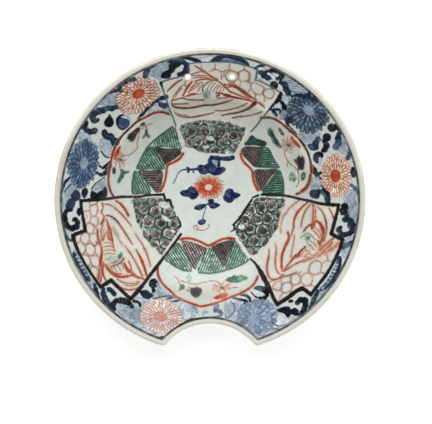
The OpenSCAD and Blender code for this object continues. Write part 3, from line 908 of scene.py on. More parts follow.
# Full leaves
RIM_LEAVES = [
    (
        INK,
        "109.6,114.3 111.4,117 113,119.8 113.6,123 112,126 108.5,127 105.3,125.8 104.2,122.8 105.3,120 "
        "107,118 108.5,116.3",
    ),
    (INK, "87,120.8 88.3,123 86.5,127 83,128.8 81.3,127 83,124"),
    (
        COBALT,
        "102.3,131 104.7,129.3 107,131.3 108.3,133.5 111,133.3 113.5,135 115,137.7 118,138.7 "
        "119.7,141.5 117.3,145.7 113.7,147 111.3,143.7 110.3,140.5 106.5,139.3 103.3,137 101.8,134",
    ),
    (
        (44, 60, 98),
        "117,119.5 119,117 123,118.5 128,120 129.5,123.5 127,127.5 122.5,130 118.5,128 116.3,123.5",
    ),
    (
        INK,
        "172,62 178,61.5 182,63 179,66.5 176,68 174,71.5 171,74 170,77.5 164,78.5 161,77 162,73.5 "
        "166,71 169,69.5 169,65",
    ),
    (COBALT, "186,63 189,66 189,74 184,75.5 178,76 177.5,73 182,71.5 184,67"),
    (COBALT_MID, "143.6,72 147,69 150,69 148.5,74 146.5,78 143.3,77.5"),
    (
        COBALT,
        "211,60.5 215,57 220,55.8 230,56 240,58 247,61.5 249,66 243,65 236,62.5 228,61.5 218,61.7 212,62",
    ),
    (INK, "180.5,57.9 186,56.8 192,57.4 197,59 201.5,61.2 200.5,62.8 196,62.2 190,60.2 185,59"),
    (INK, "308,95.5 308.3,91.5 310.5,89 311.5,94"),
    (COBALT_MID, "308,145 312,143.8 317,145.5 317,149.5 311,150"),
    ((44, 54, 76), "352,167.5 354.8,167.8 356.8,172 355.8,176 352.5,177 350.8,171.5"),
    (COBALT, "309.7,192 312,190.2 316,190 319,189.3 320,193 318.7,197.5 316.5,198.7 312,197.3 310,195"),
    (
        (36, 50, 76),
        "313.3,158 314,154.5 316.5,152.4 319.5,152.2 322.3,153.5 323.2,156 322,157.5 320,156.8 "
        "318.3,157.7 318.2,160.3 317.8,163 315.5,162.3 313.8,160.3",
    ),
    (
        INK,
        "277,310.5 283,307.2 289,306.8 291,309.5 295,308 298.5,311 296.5,315.5 291.5,314 288,317.3 "
        "284,313.5",
    ),
    (COBALT_MID, "254,288 258,286 263,286.7 267,290 264,292.5 260.5,291 257,289.7"),
    (INK, "262,288 265,286.5 268.5,288 269,292 267.3,295.5 264.7,293.7 263,291"),
    (
        INK,
        "150.5,280 155,278.8 157.3,282 155.5,284 157,286 154.7,288 155.3,291 152.5,292.5 151.5,288 "
        "149,285",
    ),
    (COBALT, "140,291.5 146,290.3 150,292.8 152.8,296 148,298.8 143,297"),
    (COBALT, "107,288 110,287.3 113.5,289.8 116.3,293.5 115,296.3 112.5,295.2 110,292.2 107.5,291.2"),
    ((42, 56, 86), "76,190.3 79.7,193 80.2,197.5 77,200.7 73.5,199.7 71.3,197 72,193.8"),
    (COBALT, "84,188.3 87,188.8 87.7,192.5 85.7,196.7 83.5,197.8 81.8,194 82.2,190.3"),
    ((42, 56, 86), "69,199.5 73,198.7 75.3,202 74.2,206 71.7,209.8 68,210.3 65.8,206"),
    (INK, "78,208.3 80,208.8 80.7,213 79,215.8 76.8,212.5"),
    (INK, "90.8,193 92.3,191 95,192.5 97.3,194 97.7,198.7 91.3,199.3"),
    (INK, "97.5,194 100,191.3 103,190 105.3,187 107,190 106.7,196 102,197 98.5,196.7"),
]
# Scrolls: colour, width along the stroke and path
RIM_SCROLLS = [
    (COBALT, 3.4, "110,92.3 114,91 118,90.5 121,91.5"),
    (COBALT, 4.2, "119.5,87.5 123.5,83 129,80.3 134,79"),
    (
        COBALT, (4, 5.5, 5, 5.5, 6, 6, 6, 5.5, 5, 3.5),
        "116,107 111.5,108.5 107.5,108.3 103.5,110.2 99.5,111 96,112.5 93.3,115 92.3,118.5 94.7,121.3 "
        "98,119.7",
    ),
    (COBALT, (3, 5.5, 5, 5.4, 5), "82.5,127.5 86,129.5 89.5,131.5 92.5,132 95,130.5"),
    (INK, (1.5, 3, 2), "123,114.6 119.3,116.8 117.2,120.3 117.7,124.7"),
    (COBALT_MID, (0.8, 1.4, 0.8), "104.5,133.5 107.5,136 111.5,137 114.5,141"),
    (COBALT_SOFT, (0.8, 1.4, 0.8), "119.3,124.3 121.3,126.7 124,127.2"),
    (INK, (1.4, 1.8, 1), "101,151 103.5,154.5 106.5,157.5 109.5,157.5"),
    (INK, (2, 3.4, 2), "99.5,166 103,168 106,165.7 110,161.7"),
    (COBALT, (2.5, 4.6, 3), "97,172.7 101,174.7 104.7,173.3 107.5,169.7 110.3,166.3"),
    (COBALT, (2.6, 3.6, 2.4), "156,64.4 151,66.8 147.5,70"),
    (COBALT, 4.6, "170,60.5 177,60.3 183,62 187.5,65.5"),
    ((88, 107, 130), (1.4, 3, 3, 1.4), "220,61.5 228,60.6 237,62 245,64.8"),
    ((158, 170, 180), (0.8, 1.6, 0.8), "221.5,59.7 226,58.8 231,59.6"),
    (COBALT, (5, 3.5), "166,97 161,98.5 157,101"),
    (COBALT, 5, "161,104.5 164,106 167,105"),
    (COBALT, (2, 3), "155,101.5 151,106 146,110"),
    (INK, (2, 3.5, 2), "148,107 144,113 140,116.5 137.5,120"),
    (COBALT, 3, "255,68.5 259,66.2 264.5,65"),
    ((32, 42, 72), (4.6, 5.2), "260.3,72.3 264,73.3"),
    (COBALT, (4.8, 5.2, 4), "264,75.3 267,77.5 270,78.5"),
    (INK, (2.4, 4.2, 4.2, 2.6), "266.7,71.5 272,70.7 277,71.5 281.3,74"),
    (COBALT, (3.4, 4.8, 4.8), "277.3,78.7 281,77.3 283.3,75"),
    ((32, 46, 72), (4.4, 6, 6), "281,82.3 284.3,84 286.3,87"),
    (COBALT, (5.6, 6.2, 4.6), "286,89 287.7,91.3 288.7,93.3"),
    (COBALT, (2.5, 4.5, 3), "292,96.3 299,94.7 306,96.7 313,99 320,100.3"),
    (INK, (2, 4.6, 2.5), "281.5,94 278.5,99.5 276.5,102.5"),
    (INK, (2.5, 4.6), "279,100 283,104 284.5,108.5"),
    (INK, (2, 3.6, 2), "270.5,109 274,111.7 277,115.7"),
    (INK, (1.5, 3, 1.5), "273,109.3 279,109.7 281,113"),
    (COBALT, 4.2, "287,119.5 289.5,118.5 290.3,121.3"),
    (COBALT, (3, 4.6, 2.6), "287,122.5 288.3,127.3 291.5,131 296.5,134.3"),
    (INK, 7.2, "331.6,127.6 333.6,128"),
    (INK, (2.6, 4.4, 3.4), "335.3,125.3 339,128.5 341.3,132.7"),
    (COBALT, (4, 5.6, 5.4), "338.9,134 338.3,138 337.5,141"),
    (COBALT_MID, (5.4, 6.4, 4.4), "338.3,143 336.7,145.5 335.3,148"),
    ((64, 78, 106), (3, 4.6, 3.8), "350.2,148.7 349.7,153.7 347.7,158.7"),
    (INK, 3.2, "352.7,168.7 353.8,169.7"),
    ((32, 37, 60), (4.2, 5.4, 4.6), "316.2,147.5 315.7,143 318,139.3"),
    (COBALT_SOFT, (2.4, 3), "319.7,139.3 323.3,141"),
    (INK, (4.2, 5.4, 5.4, 4.6), "324.7,141.7 326.5,145 325.5,149 322.9,150.7"),
    (INK, (1.6, 3.2, 3.4, 2.4), "316.3,153.2 319.3,153 321.9,154.7 322,156.5"),
    (INK, (3, 5.4, 5.4, 3.6), "312.3,166.5 314,170.7 316.7,174.3 318.5,175.7"),
    (INK, 2.8, "320.4,172.8 320.5,173.2"),
    (INK, 2.6, "320.2,178 320.3,178.4"),
    (COBALT, (3.6, 5.6, 5.6, 5), "319,191.3 323,191.7 326.7,195.3 328,202.3"),
    ((82, 102, 134), (1, 2.2, 1.2), "321,193.1 323.7,194.5 325.2,197.5"),
    (INK, (1.6, 2.8), "321.5,185.5 324.7,189.7 328,193"),
    ((68, 84, 108), (2.6, 4, 3.4), "351.5,185.3 355.3,188.5 358.3,192.3"),
    (INK, 2.8, "358.5,193.7 358.8,194.2"),
    (INK, 6.0, "344.6,206.5 345,206.9"),
    (INK, (5.6, 6), "342.3,210.5 342.5,213"),
    ((34, 34, 52), (4.4, 5.2), "345.8,212.5 346.7,215.7"),
    (COBALT, (5, 6), "344.9,219.5 348,219.3"),
    ((28, 46, 58), (5.6, 7, 5.6), "350.3,221 351.5,224 350.7,225.5"),
    ((26, 25, 38), (5.6, 6, 4.8, 4.8), "353.8,226 353.3,229.7 350,233 345,234.8"),
    (COBALT, (4.8, 5.2, 5, 4), "345,234.8 341.3,234 339,230.5 340.3,227.5"),
    (INK, 3.4, "340.7,226.9 341,227.1"),
    ((60, 82, 108), (2.6, 4.6, 4), "343.3,248.3 347,245.3 351,243.3"),
    (INK, (1, 2.4), "348.7,243 352,241.5"),
    (INK, 2.6, "340.4,258.5 340.3,261"),
    (COBALT, (3, 4.6, 3), "318,291 315.3,297 312.3,303 309.7,308.3"),
    (INK, (4, 5.4, 5.6, 4.6, 3), "297.3,302.7 301,299.7 305,301 305.3,306 303,311 298.7,314.7"),
    (INK, 3.4, "290,301.3 292,301"),
    (INK, (2.4, 4, 1.6, 1.4), "264.5,291.5 267.3,294.3 266,297 261.5,298 256.5,297.3 253,294.3 251,292"),
    (COBALT, 2.8, "232.5,297.5 238,299 243,300 246.5,301"),
    (COBALT, (2, 3, 2.4), "240.5,295 246,295.5 249.3,298 250.3,301"),
    (INK, 2, "244.4,303 244.7,303.2"),
    ((136, 155, 181), (3, 3.4, 2), "192,304 195,308 197,313"),
    ((172, 185, 200), (2, 3, 2), "192.7,310.5 193.5,313.5 194.3,317"),
    ((150, 163, 182), 3, "203,317 204,312.3 206.5,312"),
    ((104, 122, 148), (4.6, 4.8, 3.6), "216,304.8 217,307 215.5,309.5"),
    ((92, 107, 132), (4, 4, 4.4), "215.3,310.5 219,311.3 221.7,312.8"),
    ((136, 142, 158), (3.6, 2.6, 1.8), "221.5,314.5 218,316.5 213.5,317"),
    (COBALT_MID, 1.3, "153,298.7 160,297.3 166,296 173,295.5"),
    (COBALT_MID, (1, 3, 1), "166,299.3 170,298 176.5,297"),
    (COBALT_MID, (1, 3, 1), "171,301.7 175,301 181,300"),
    (INK, (3.5, 6, 5.6, 5, 4), "132,306.5 128,302.6 122,300.6 116,301 113.3,304.5 114,310"),
    (COBALT, (4, 6, 6, 4), "103,289 104,296 108,304 113.5,311"),
    (INK, 2.4, "125.5,323.5 131,326.5"),
    (INK, 3, "134,301 139,302.7 140,305.3"),
    (COBALT, (3, 4.4, 4), "94.7,284.7 96,290.7 97.7,298"),
    (
        INK, (3, 5, 5.6, 5.6, 5, 3),
        "71,210 66.5,211 64.2,216.3 65.3,222.3 68.3,227 72.3,228.3 76.3,226.7 77.7,223.3 76.3,219.8 "
        "74,219.3 73.3,220.7",
    ),
    (
        COBALT, (2.4, 3.4, 3.6, 3.4, 2.6),
        "61.3,186 60.5,195 60.3,205 61,215 62.5,225 64.7,233 68,239 72,241",
    ),
    (COBALT, (3.4, 2.4), "61,191.5 63.3,186 66,181 70,177.7"),
    (INK, 1.1, "91.5,189 95,184 99,181 104.5,177"),
    (COBALT, 1.2, "64.5,192 68,187 71.5,184"),
    (INK, (1.5, 3, 3.2, 1.5), "145,334.5 152,337 158.5,338 163,336.5"),
    (INK, (1, 2.6, 1), "160,338.5 164,340.5 167,338"),
    (INK, (1, 2.8, 1), "184,322 191,319.6 199,318.3"),
    (INK, (0.8, 1.6, 0.8), "203,318 211,317.6 219,318.2"),
    (INK, (0.8, 2.2, 1.2), "230,320.5 240,326 249,333.5"),
    (COBALT_SOFT, 4.4, "258.5,331.5 259.5,332.3"),
    (HATCH_BLUE, (1, 1.6, 1), "230.5,301.5 233.6,304.5 234.7,309 232.4,314 228,317.7"),
    (SLATE, (1, 1.4, 0.8), "274,312 271.7,317.5 272.7,322.3 276,325.2 280.5,325.8 285,325"),
    ((124, 138, 158), (1.6, 2.6, 1.4), "270,326 273.3,328.8 278.5,329"),
    (INK, 6.6, "274,85.3 274.2,85.6"),
    (INK, 6.4, "326.8,137.4 327,137.6"),
]
# Ribbed leaves: outline, spine, then the pale spots between their ribs
RIBBED_LEAVES = [
    (
        (
            "338.3,257 341,257 341.4,262 340,269 337,275.3 332.3,282 327.5,287.3 321,291 320.3,288.3 "
            "324.5,284 329,277.5 333,270.5 336.3,263.5"
        ),
        "340.3,258 340,264 338,270.5 334.7,277.5 330.3,284 325.5,288.3",
        "336.7,264.7 335.2,267.7 334.3,271.3 332,274.7 330.2,278.3 327.3,281.7 323,287.8",
    ),
    (
        (
            "73,252.5 75.5,253.5 78.5,258.5 82.3,265 86,271.5 89.7,278 90,281.3 86.5,280.5 81.5,274.3 "
            "77.3,267.5 74,260"
        ),
        "73.7,255 75.3,260.5 78.3,267 82.3,273.3 87.5,279.5",
        "76.7,256.7 79,260.3 80.8,264 82.7,267.7 84.7,271.3 86.7,274.7",
    ),
]
# From this width on, a scroll swells and narrows in lobes.
LOBED_SCROLL_W = 4


def paint_ribbed_leaves():
    for outline, spine, spots in RIBBED_LEAVES:
        sheet.fill(outline, COBALT_MID, 0.95, FLAT, 0.4, edge=COBALT)
        sheet.brush(spine, (2.6, 3.2, 2), COBALT, 0.92, FLAT, 0.4)
        for x, y in dots(spots):
            sheet.fill(ellipse(x, y, 1.7, 1.1, rng.uniform(-30, 30)), RIB_PALE, 0.85, FLAT, 0.5)


def paint_rim():
    for colour, path in RIM_WASHES:
        sheet.fill(path, colour, 0.7, FLAT, 0.5, edge=HATCH_BLUE, edge_w=0.7)
    for path, angle, pitch, width, colour in RIM_HATCHES:
        sheet.hatch(path, angle, pitch, width, colour, 0.8, FLAT)
    for flower in FLOWERS:
        sheet.flower(flower)
    for colour, path in RIM_LEAVES:
        sheet.fill(path, COBALT_MID, 0.95, FLAT, 0.1)
        sheet.fill(path, colour, 0.9, FLAT, 0.5, edge=INK, edge_w=0.7)
    for colour, width, path in RIM_SCROLLS:
        lobes = 0.2 if np.max(width) >= LOBED_SCROLL_W else 0.0
        sheet.brush(path, width, colour, 0.92, FLAT, 0.4, lobes=lobes)
    paint_ribbed_leaves()


# Fans: the frame's lines, the bird's strokes and filled shapes, and the lines of the diaper
TOP_FAN_LINES = [
    (SLATE, (2.2, 1.5, 1.5), "160.5,82.3 170,79.3 180,76.8 188.5,75.5"),
    (SLATE, 1.4, "188.7,75 188.6,64"),
    (SLATE, 1.3, "188.6,63.8 200,62.4 215,62 230,62.4 242,64.8 257,68.6"),
    (SLATE, (1.8, 2.2), "257.3,68.6 256.6,74 255.6,80"),
    (SLATE, 1.5, "255.6,80 267,84.5 281,92.6"),
    (INK, (2.4, 2.6), "281,92.8 276,101 269,110"),
    (SLATE, 1.6, "269,110 262,118.3 257,125 251,131.7"),
    (SLATE, (2.6, 1.6, 1.5, 1.5), "160.7,82.5 163,90 166,98 168.5,106 171,113 174,120 176,126.3"),
    (INK, (3.4, 1.5), "161,83.5 162,86.5"),
    ((224, 212, 197), (2, 3, 2.4), "176.5,127 180.5,139 185,152.5"),
    ((224, 212, 197), (2, 3, 2.4), "249.5,133.5 243,143 236.5,153.5"),
]
TOP_FAN_STROKES = [
    (IRON, (1.2, 2.2, 1.6), "167.5,91.3 172,86.5 177,82.3 182,79.5"),
    (OLIVE, 1.2, "172.5,99.5 174.5,95 177.5,90.7 180,87.7 183,85"),
    (IRON_FAINT, 1.2, "175.5,97 178,92 181.5,88.5"),
    (IRON, (2, 2.8, 1.8), "183,95.3 185,91.5 187.5,87 189.7,84 192,81.3"),
    (IRON_FAINT, 1.3, "186,81 184.7,84 186,86.5"),
    (OLIVE, 1.2, "191,88.7 195,85.7 199,83.3 202.5,82.3"),
    (IRON_FAINT, 1.2, "198,91 200,87.5 203.5,84"),
    (IRON_FAINT, 1.2, "188,92 193,89.3 199,85.3"),
    (OLIVE, 1.3, "191.5,74.8 197,72.5 204,71"),
    (IRON_FAINT, 1.3, "193,76 200,75.3 207,76 212,77.3"),
    (IRON_SOFT, 1.5, "195,81.2 200,79.8 206,79.2 213,79.3"),
    (IRON_SOFT, (1.2, 2, 2.2, 1.8), "195,65.7 200,69 206,72.5 212,77 217.5,79.6"),
    (IRON_FAINT, 1.3, "202,71.5 208,74.3 213,78"),
    ((112, 84, 70), (1.6, 1.3, 1), "202.6,92 203,87.5 206,83.7 210,81.2 214.5,80.2 219,81.7 223,85"),
    (OLIVE, 0.9, "207,90 209,85.5 212.5,82"),
    (OLIVE, 0.9, "210,91.5 212,86.5 215.5,83"),
    (OLIVE, 0.9, "213.3,92 215,88 218,84.8"),
    (OLIVE, 0.9, "216.5,91 218,87.5 220.5,85"),
    (IRON_FAINT, 0.9, "219.5,91.5 221,88.3 223,86.3"),
    (IRON_FAINT, 0.9, "222.5,91.5 224,89"),
    (IRON_SOFT, (1.4, 2.2, 1.6), "219.5,82 224,85.7 228,89.5 230.5,92.5"),
    (IRON_DARK, 2, "216.3,93 218.5,93.5 219,95.5 216.7,96"),
    (IRON_SOFT, 1.1, "217,98 222,98.2 228,98"),
    (IRON, (1.6, 2.4, 2), "228,87 233,86.5 238,89 243,93 247.5,97 251,100.5"),
    (IRON, (1.4, 2.2, 1.6), "229,83.3 235,85.3 240,88.3 246,92.5 251,96.5 256.3,100.7"),
    (IRON_SOFT, 1.6, "229,91 236,94 244,97.3 251,100.7"),
    (IRON_DARK, (1.4, 2.8, 2.2, 1.4), "219,92.5 225,94.7 232,96.7 240,98.6 248,100.3"),
    (IRON, (1.2, 1.9, 1.4), "224,84.3 231,85.7 238,88.7 245,93 251,97.7"),
    (IRON_SOFT, 1.2, "188.7,93 191.3,88 194.3,84.3 197,82.3"),
    (IRON_SOFT, 1.2, "193,78 199,77.3 205,77.7 210,79"),
    (IRON_SOFT, 1.5, "240,98 247,100 255,102"),
    (IRON_SOFT, 1.5, "251,100.5 256,102 260,104 264,107"),
    (IRON_SOFT, 1.5, "171,100.8 177,99.2 183,98 186,99.3 192,99.8 198,100 204,100"),
    (OLIVE, 1.4, "174,104 180,104 188.5,103.7"),
    (
        IRON_DARK, (1.8, 2.4, 2.2, 2.2, 1.2),
        "171.7,102.5 172.5,105.3 176,107.3 182,108 188,108 194,107.3 200,106 206,105 212,105 218,104 "
        "224,102.5 230,100.5 232.5,99.3",
    ),
    (
        IRON_SOFT, (1, 2, 1.2),
        "174.3,111.7 177,115 182,116.7 188,117.3 194,117 200,115.8 207,114.3 214,112.7",
    ),
    (IRON_FAINT, 1.3, "177,113.5 182,115.2 187,115.7"),
    (IRON_SOFT, 1.4, "215.5,110.6 223,110.7 230,109.5 237,107.7 243,105.5 247,103.3"),
    (IRON_DARK, (1.2, 2, 2.4, 4.8), "221.5,115.5 228,114 235,113 241,111.5 247,109 251,106.5 254.5,103"),
    ((146, 112, 90), 1.5, "232.5,118 240,116.6 247,116 254,114.5 262,111.7"),
]
TOP_FAN_FILLS = [
    (IRON, "182.5,97.3 186,95.5 190,93.5 194,92.7 198,93.5 203,93.7 198,95 192,95.8 187,97"),
    ((128, 52, 32), "222.5,94.3 226,93.5 230,94.5 232.5,96.3 237,97 241,98.3 236,99 231,98 226,97"),
    ((150, 163, 152), "202.5,93 204.5,90.5 208,90 211,93 211.5,97 208,99 204,98.3"),
    ((112, 136, 126), "203.7,93.5 206,92.3 207.7,94.7 207.3,97.3 205,97.7"),
]
TOP_FAN_NET = [
    (
        "209,71.7 212,70.4 215,69.5 218,70 220.7,71.6 224,71.3 227.5,70 230,69.5 233,71 236.5,72.4 "
        "240,71.5 244,70 247,71.2 250.3,73.7"
    ),
    "215,69.6 215.3,65",
    "229.3,69.5 229.7,64.5",
    "244.2,70 244.5,66.5",
    "201.7,68.7 201.5,65.3",
    "220.8,71.7 221.3,75 221.7,79",
    "224,71.5 224,76",
    "239.2,72.3 239.1,77 240.5,81.4 243.5,81.3 247.5,80.8 248.8,78.5 248.5,72.6",
    "250.3,73.7 250,79 248.2,82.5",
    "240.5,81.5 240.3,84.5 239.8,87",
    "247.8,81 250.6,83.7 250.9,87.7 248.6,91.3",
    "250.7,83.5 254,82.8 258,84.3 262,86.3 264.1,88.2 262.8,91.5 261.3,94 256,94.1 253,91.4 251.2,88",
    "263.2,92 266,89.4 270,89 273.4,91 274.3,94 272.5,97.3 269.7,98.6 265.7,97 263.2,94.4 263.2,92",
    "256,94.2 255.4,97.5 256.6,100.3",
    "263.4,95 264.6,98 264.3,101.3",
    "257,102 260.5,102.8 263.8,105 265,108",
    "233.5,81.6 234.7,84.4 238,86.8",
]

LEFT_FAN_LINES = [
    (
        BLACK, (2.2, 2.8, 2.6, 3, 3.8, 3.6),
        "164,194.6 150,195 140,196.5 130,196.8 120,197 110,198.5 100,199.3 90,200 80.7,201",
    ),
    (BLACK, (3.4, 3.4, 3.8), "81,200.5 81.3,208 82.7,216 84.2,224 85.3,230.7"),
    (BLACK, 3.8, "85.3,230.7 79,232.8 72.8,235.3"),
    (BLACK, (4.4, 3.2, 3, 3.4), "73,235.5 74.3,241 77.3,249 81.3,257 86.3,266 92.3,275.3 100.3,286.7"),
    (BLACK, 4.2, "100.3,286.7 105.5,284 111,280.3"),
    (BLACK, (4, 3.6), "111,280.3 119,288 126,294.7 130.7,298.7"),
    (
        BLACK, (4.2, 4, 3.4, 3.6, 2.8, 2.8, 2.4),
        "130.7,298.7 137,292 144,283.5 150,275.3 157,266.3 164,257 170,249 176,241 181,234",
    ),
    (BLACK, (2, 3, 1.6), "163.7,193.7 164.7,197.7 166.3,200.3 169.7,200.3 171.3,204.3 173.3,207.7"),
    (BLACK, (1, 2, 1.6), "177.3,216.7 179.5,221 180.5,226.3 177.7,227"),
]
LEFT_FAN_STROKES = [
    (IRON, (1.8, 3.4, 2.8), "116,200.7 119.5,203 122.5,206 125.3,209.7 128.3,215.5"),
    (IRON_FAINT, (1, 1.8, 1.6), "104,204.3 108,204.3 112,206 116,208.7"),
    (IRON_SOFT, (1.4, 2, 1.4), "115,208 120,212.5 125,218 129,223 131.3,225.7"),
    ((104, 60, 40), (1.4, 2.2, 2.4, 2), "105.5,215.3 110,216 114,218.3 118,222.5 121,226.7"),
    ((168, 88, 58), (2, 2.2, 1.4), "120.5,226 124,231 128,237.5 132.5,244.5"),
    ((146, 136, 114), 1.3, "110,228 114,232 118,238 122.3,244"),
    (IRON_FAINT, (1.2, 2.2, 1.8), "124.5,245.5 130,253 135,261 139,269 143,277.5"),
    (IRON, (1.4, 3, 2.4), "136,249.5 139,255 142,261 144.5,268 146.5,275.5"),
    (IRON_FAINT, (1, 2.2, 1.8), "135,233.5 138,238 142,244 146,252 149,260 150.5,266.5"),
    (IRON, (1.2, 2, 2.4, 2, 1.6), "106,218.5 108.5,225 110.7,232 112,239 113,245 114.5,251"),
    (IRON_SOFT, 1.4, "103,224.5 101,231 101.5,238 100.5,244"),
    (IRON_SOFT, (1.2, 2), "106,232 104.5,236 103,240"),
    (FEATHER, 0.9, "103.5,243 108,242.5 112.5,243.7"),
    (FEATHER, 0.9, "103.5,247 109,246 114,247.7"),
    (FEATHER, 0.9, "104,250.7 109.5,249.7 115,251"),
    (FEATHER, 0.9, "104,254.3 109,253.3 115,254"),
    (FEATHER, 0.9, "104.5,259.7 109,258.7 113,258"),
    (IRON_FAINT, 1.6, "111,258.7 117,257.3"),
    ((132, 160, 144), (1.2, 2, 1.6), "110.5,263.3 115,262.3 119,259.5 121,256"),
    (IRON, 1.8, "111,266.3 116,265 121,262 123.7,258.3"),
    (IRON, (2, 3, 3, 3.4, 3.2), "102,261.7 106,266.3 110,271.3 114,274.8 120,276.7 127.3,276.3"),
    (IRON_SOFT, 1.7, "106.5,265 110,269.7 115,273.3 121,274"),
    (IRON, (2, 3.4, 3.4, 2), "101,245.7 101.7,253 100.5,260 101,268 101,275 100.3,282"),
    (IRON, (1.4, 2.6, 1.4), "103,264.5 102.5,272 104.5,278 107.3,281.5"),
    (IRON_SOFT, 1.8, "97.3,230 98.3,238 100.7,245.3"),
    (IRON_SOFT, 1.6, "96,242 100.5,244.5"),
    (IRON_SOFT, 1.7, "97,283 98.7,276 99,269"),
    (IRON, (2, 4.2, 2.6, 2), "124,263.5 127,269 130,271.5 134,274.5 138.5,277 143.7,279.3"),
    (IRON_SOFT, 1.7, "128.7,261.5 131,267 131.3,271.3"),
    (IRON_SOFT, 1.6, "127,276 133,275.7 139,278.3"),
    (IRON_FAINT, 1.5, "117,278.7 122,282 128,283.4 134,283.4 139,282"),
    (IRON_FAINT, 1.3, "126,285.3 132,285.7 138,284"),
    (IRON_SOFT, 1.9, "119,286.7 124,289 130,290 136,288.7 140,286.7"),
    (IRON_SOFT, 1.6, "102.3,203 103,208 101.5,212 104,216.3"),
    (IRON_SOFT, (1.4, 3.4, 1.6), "104,217 103,221 100.5,224.5"),
    (FEATHER, 0.8, "108,263.7 110,266 112.3,269.3"),
    (FEATHER, 0.8, "113,266 115,268.7 117,272"),
    (FEATHER, 0.8, "117.3,265 119,267.7 120.7,271"),
    (FEATHER, 0.8, "121.3,262.7 122.5,265 123.5,268.3"),
    (FEATHER, 0.8, "113,227 116,231 119,236.3"),
    (FEATHER, 0.8, "104,229 103,233.5 103.3,238"),
]
LEFT_FAN_FILLS = [
    ((190, 204, 194), "108,256.5 114,255 118.5,254.5 119,258.5 114,261.5 109,262"),
    (GREEN_SOFT, "119,254.5 121.5,252 122.8,254 121.5,258 119.3,259.5 118,257.5"),
    (
        (176, 90, 58),
        "106,219 108.3,224 110.3,230 111.7,237 112.3,241.5 110,240.7 107.3,239 107,233 107.3,228",
    ),
]
LEFT_FAN_NET = [
    "89.6,201.7 90,206 89.5,210 86,211.4 82.5,210.5",
    "90.2,206.3 92.5,205 96,204.6 97.6,208 97.2,213 94.6,216.3 91.4,215.2 89.8,211",
    "96,204.6 97.7,202",
    "89.6,211 91,215.7 90.5,220 88.5,223 85,223.1 83.3,220.5",
    "94.6,216.3 97.3,217.5 98.3,220.5 97.8,224 95.3,226.3 92.3,224",
    "88.5,223.2 92,224 94.4,227 93.6,231 91,233.9 87.4,232.4 86,228.5 86.6,225",
    "95.3,226.3 97.6,228.5 98,232.5 96,233.6",
    "87.2,232.6 83,233.6 80.7,236.6 80.7,240.2 82.5,243 86.2,244.5 89,241 89.5,236 87.4,232.8",
    "91,234 93,233.7 95.8,233.5 97.3,237 97.7,242 95.6,245.4 92,243.8 89.7,240.5",
    "80.6,240.6 77,243.6",
    "82.6,243.2 85.3,246.5 85.1,251 82.1,254.7",
    "86.6,245 89.5,243.7 92.7,244.4 94.7,247.5 94.5,252 92,255.5 88.5,254.8 85.4,251.2",
    "95.6,245.6 95.2,252 97.6,256",
    "97.8,243 101,245.3",
    "82.1,254.7 86,255 89,256.9 90.7,260.5 90.3,264 88.3,266.6",
    "92,255.7 94.6,255.4 98,256.5 99.6,260 99.5,264.5 97,267.2 93.4,266 91,262.7",
    "90.2,268.5 92.6,266.4 96,267.7 97.8,271 97.6,275 95.5,278.4 92.6,276",
    "97.6,275.3 99.2,279",
]

RIGHT_FAN_LINES = [
    (
        BLACK, (2.4, 3, 3, 2.8, 3, 3.4, 3.4),
        "261.5,194.6 272,195 281,195.3 290,196.5 300,199 310,201 320,203.5 330,204.7 338.7,205",
    ),
    (BLACK, (3.4, 3.4, 4), "338.5,205.3 337,213 334.5,222 331.3,233.7"),
    (BLACK, 4.2, "331.3,233.7 337,237 342.7,239.3"),
    (BLACK, (4.4, 3.4, 3.4, 3.6), "342.5,239.5 340.5,247 337,255 332,265 326,275 319,284 310.7,294.5"),
    (BLACK, 4.6, "310.7,294.5 306,290.7 302.3,288.3"),
    (BLACK, 4.2, "302.3,288.3 296,291.3 288,297.5 277.7,304.3"),
    (
        BLACK, (4.2, 3.8, 5, 5.2, 3, 2),
        "277.7,304.3 274,299 271,292 266,282 261,272.5 257,265.7 253,261 249,257.7",
    ),
    (CREAM, (2, 2.2, 1.6), "249,257.7 243,249 236,238"),
    (BLACK, (1.4, 2.4), "252.5,197.7 258,195.3"),
    (BLACK, (2, 3, 2.6, 2), "252,199.5 247,207 241,216 236,222 233.3,224.7"),
    (BLACK, (2.4, 2, 1), "233.7,224.7 234.5,229 231,231.7"),
]
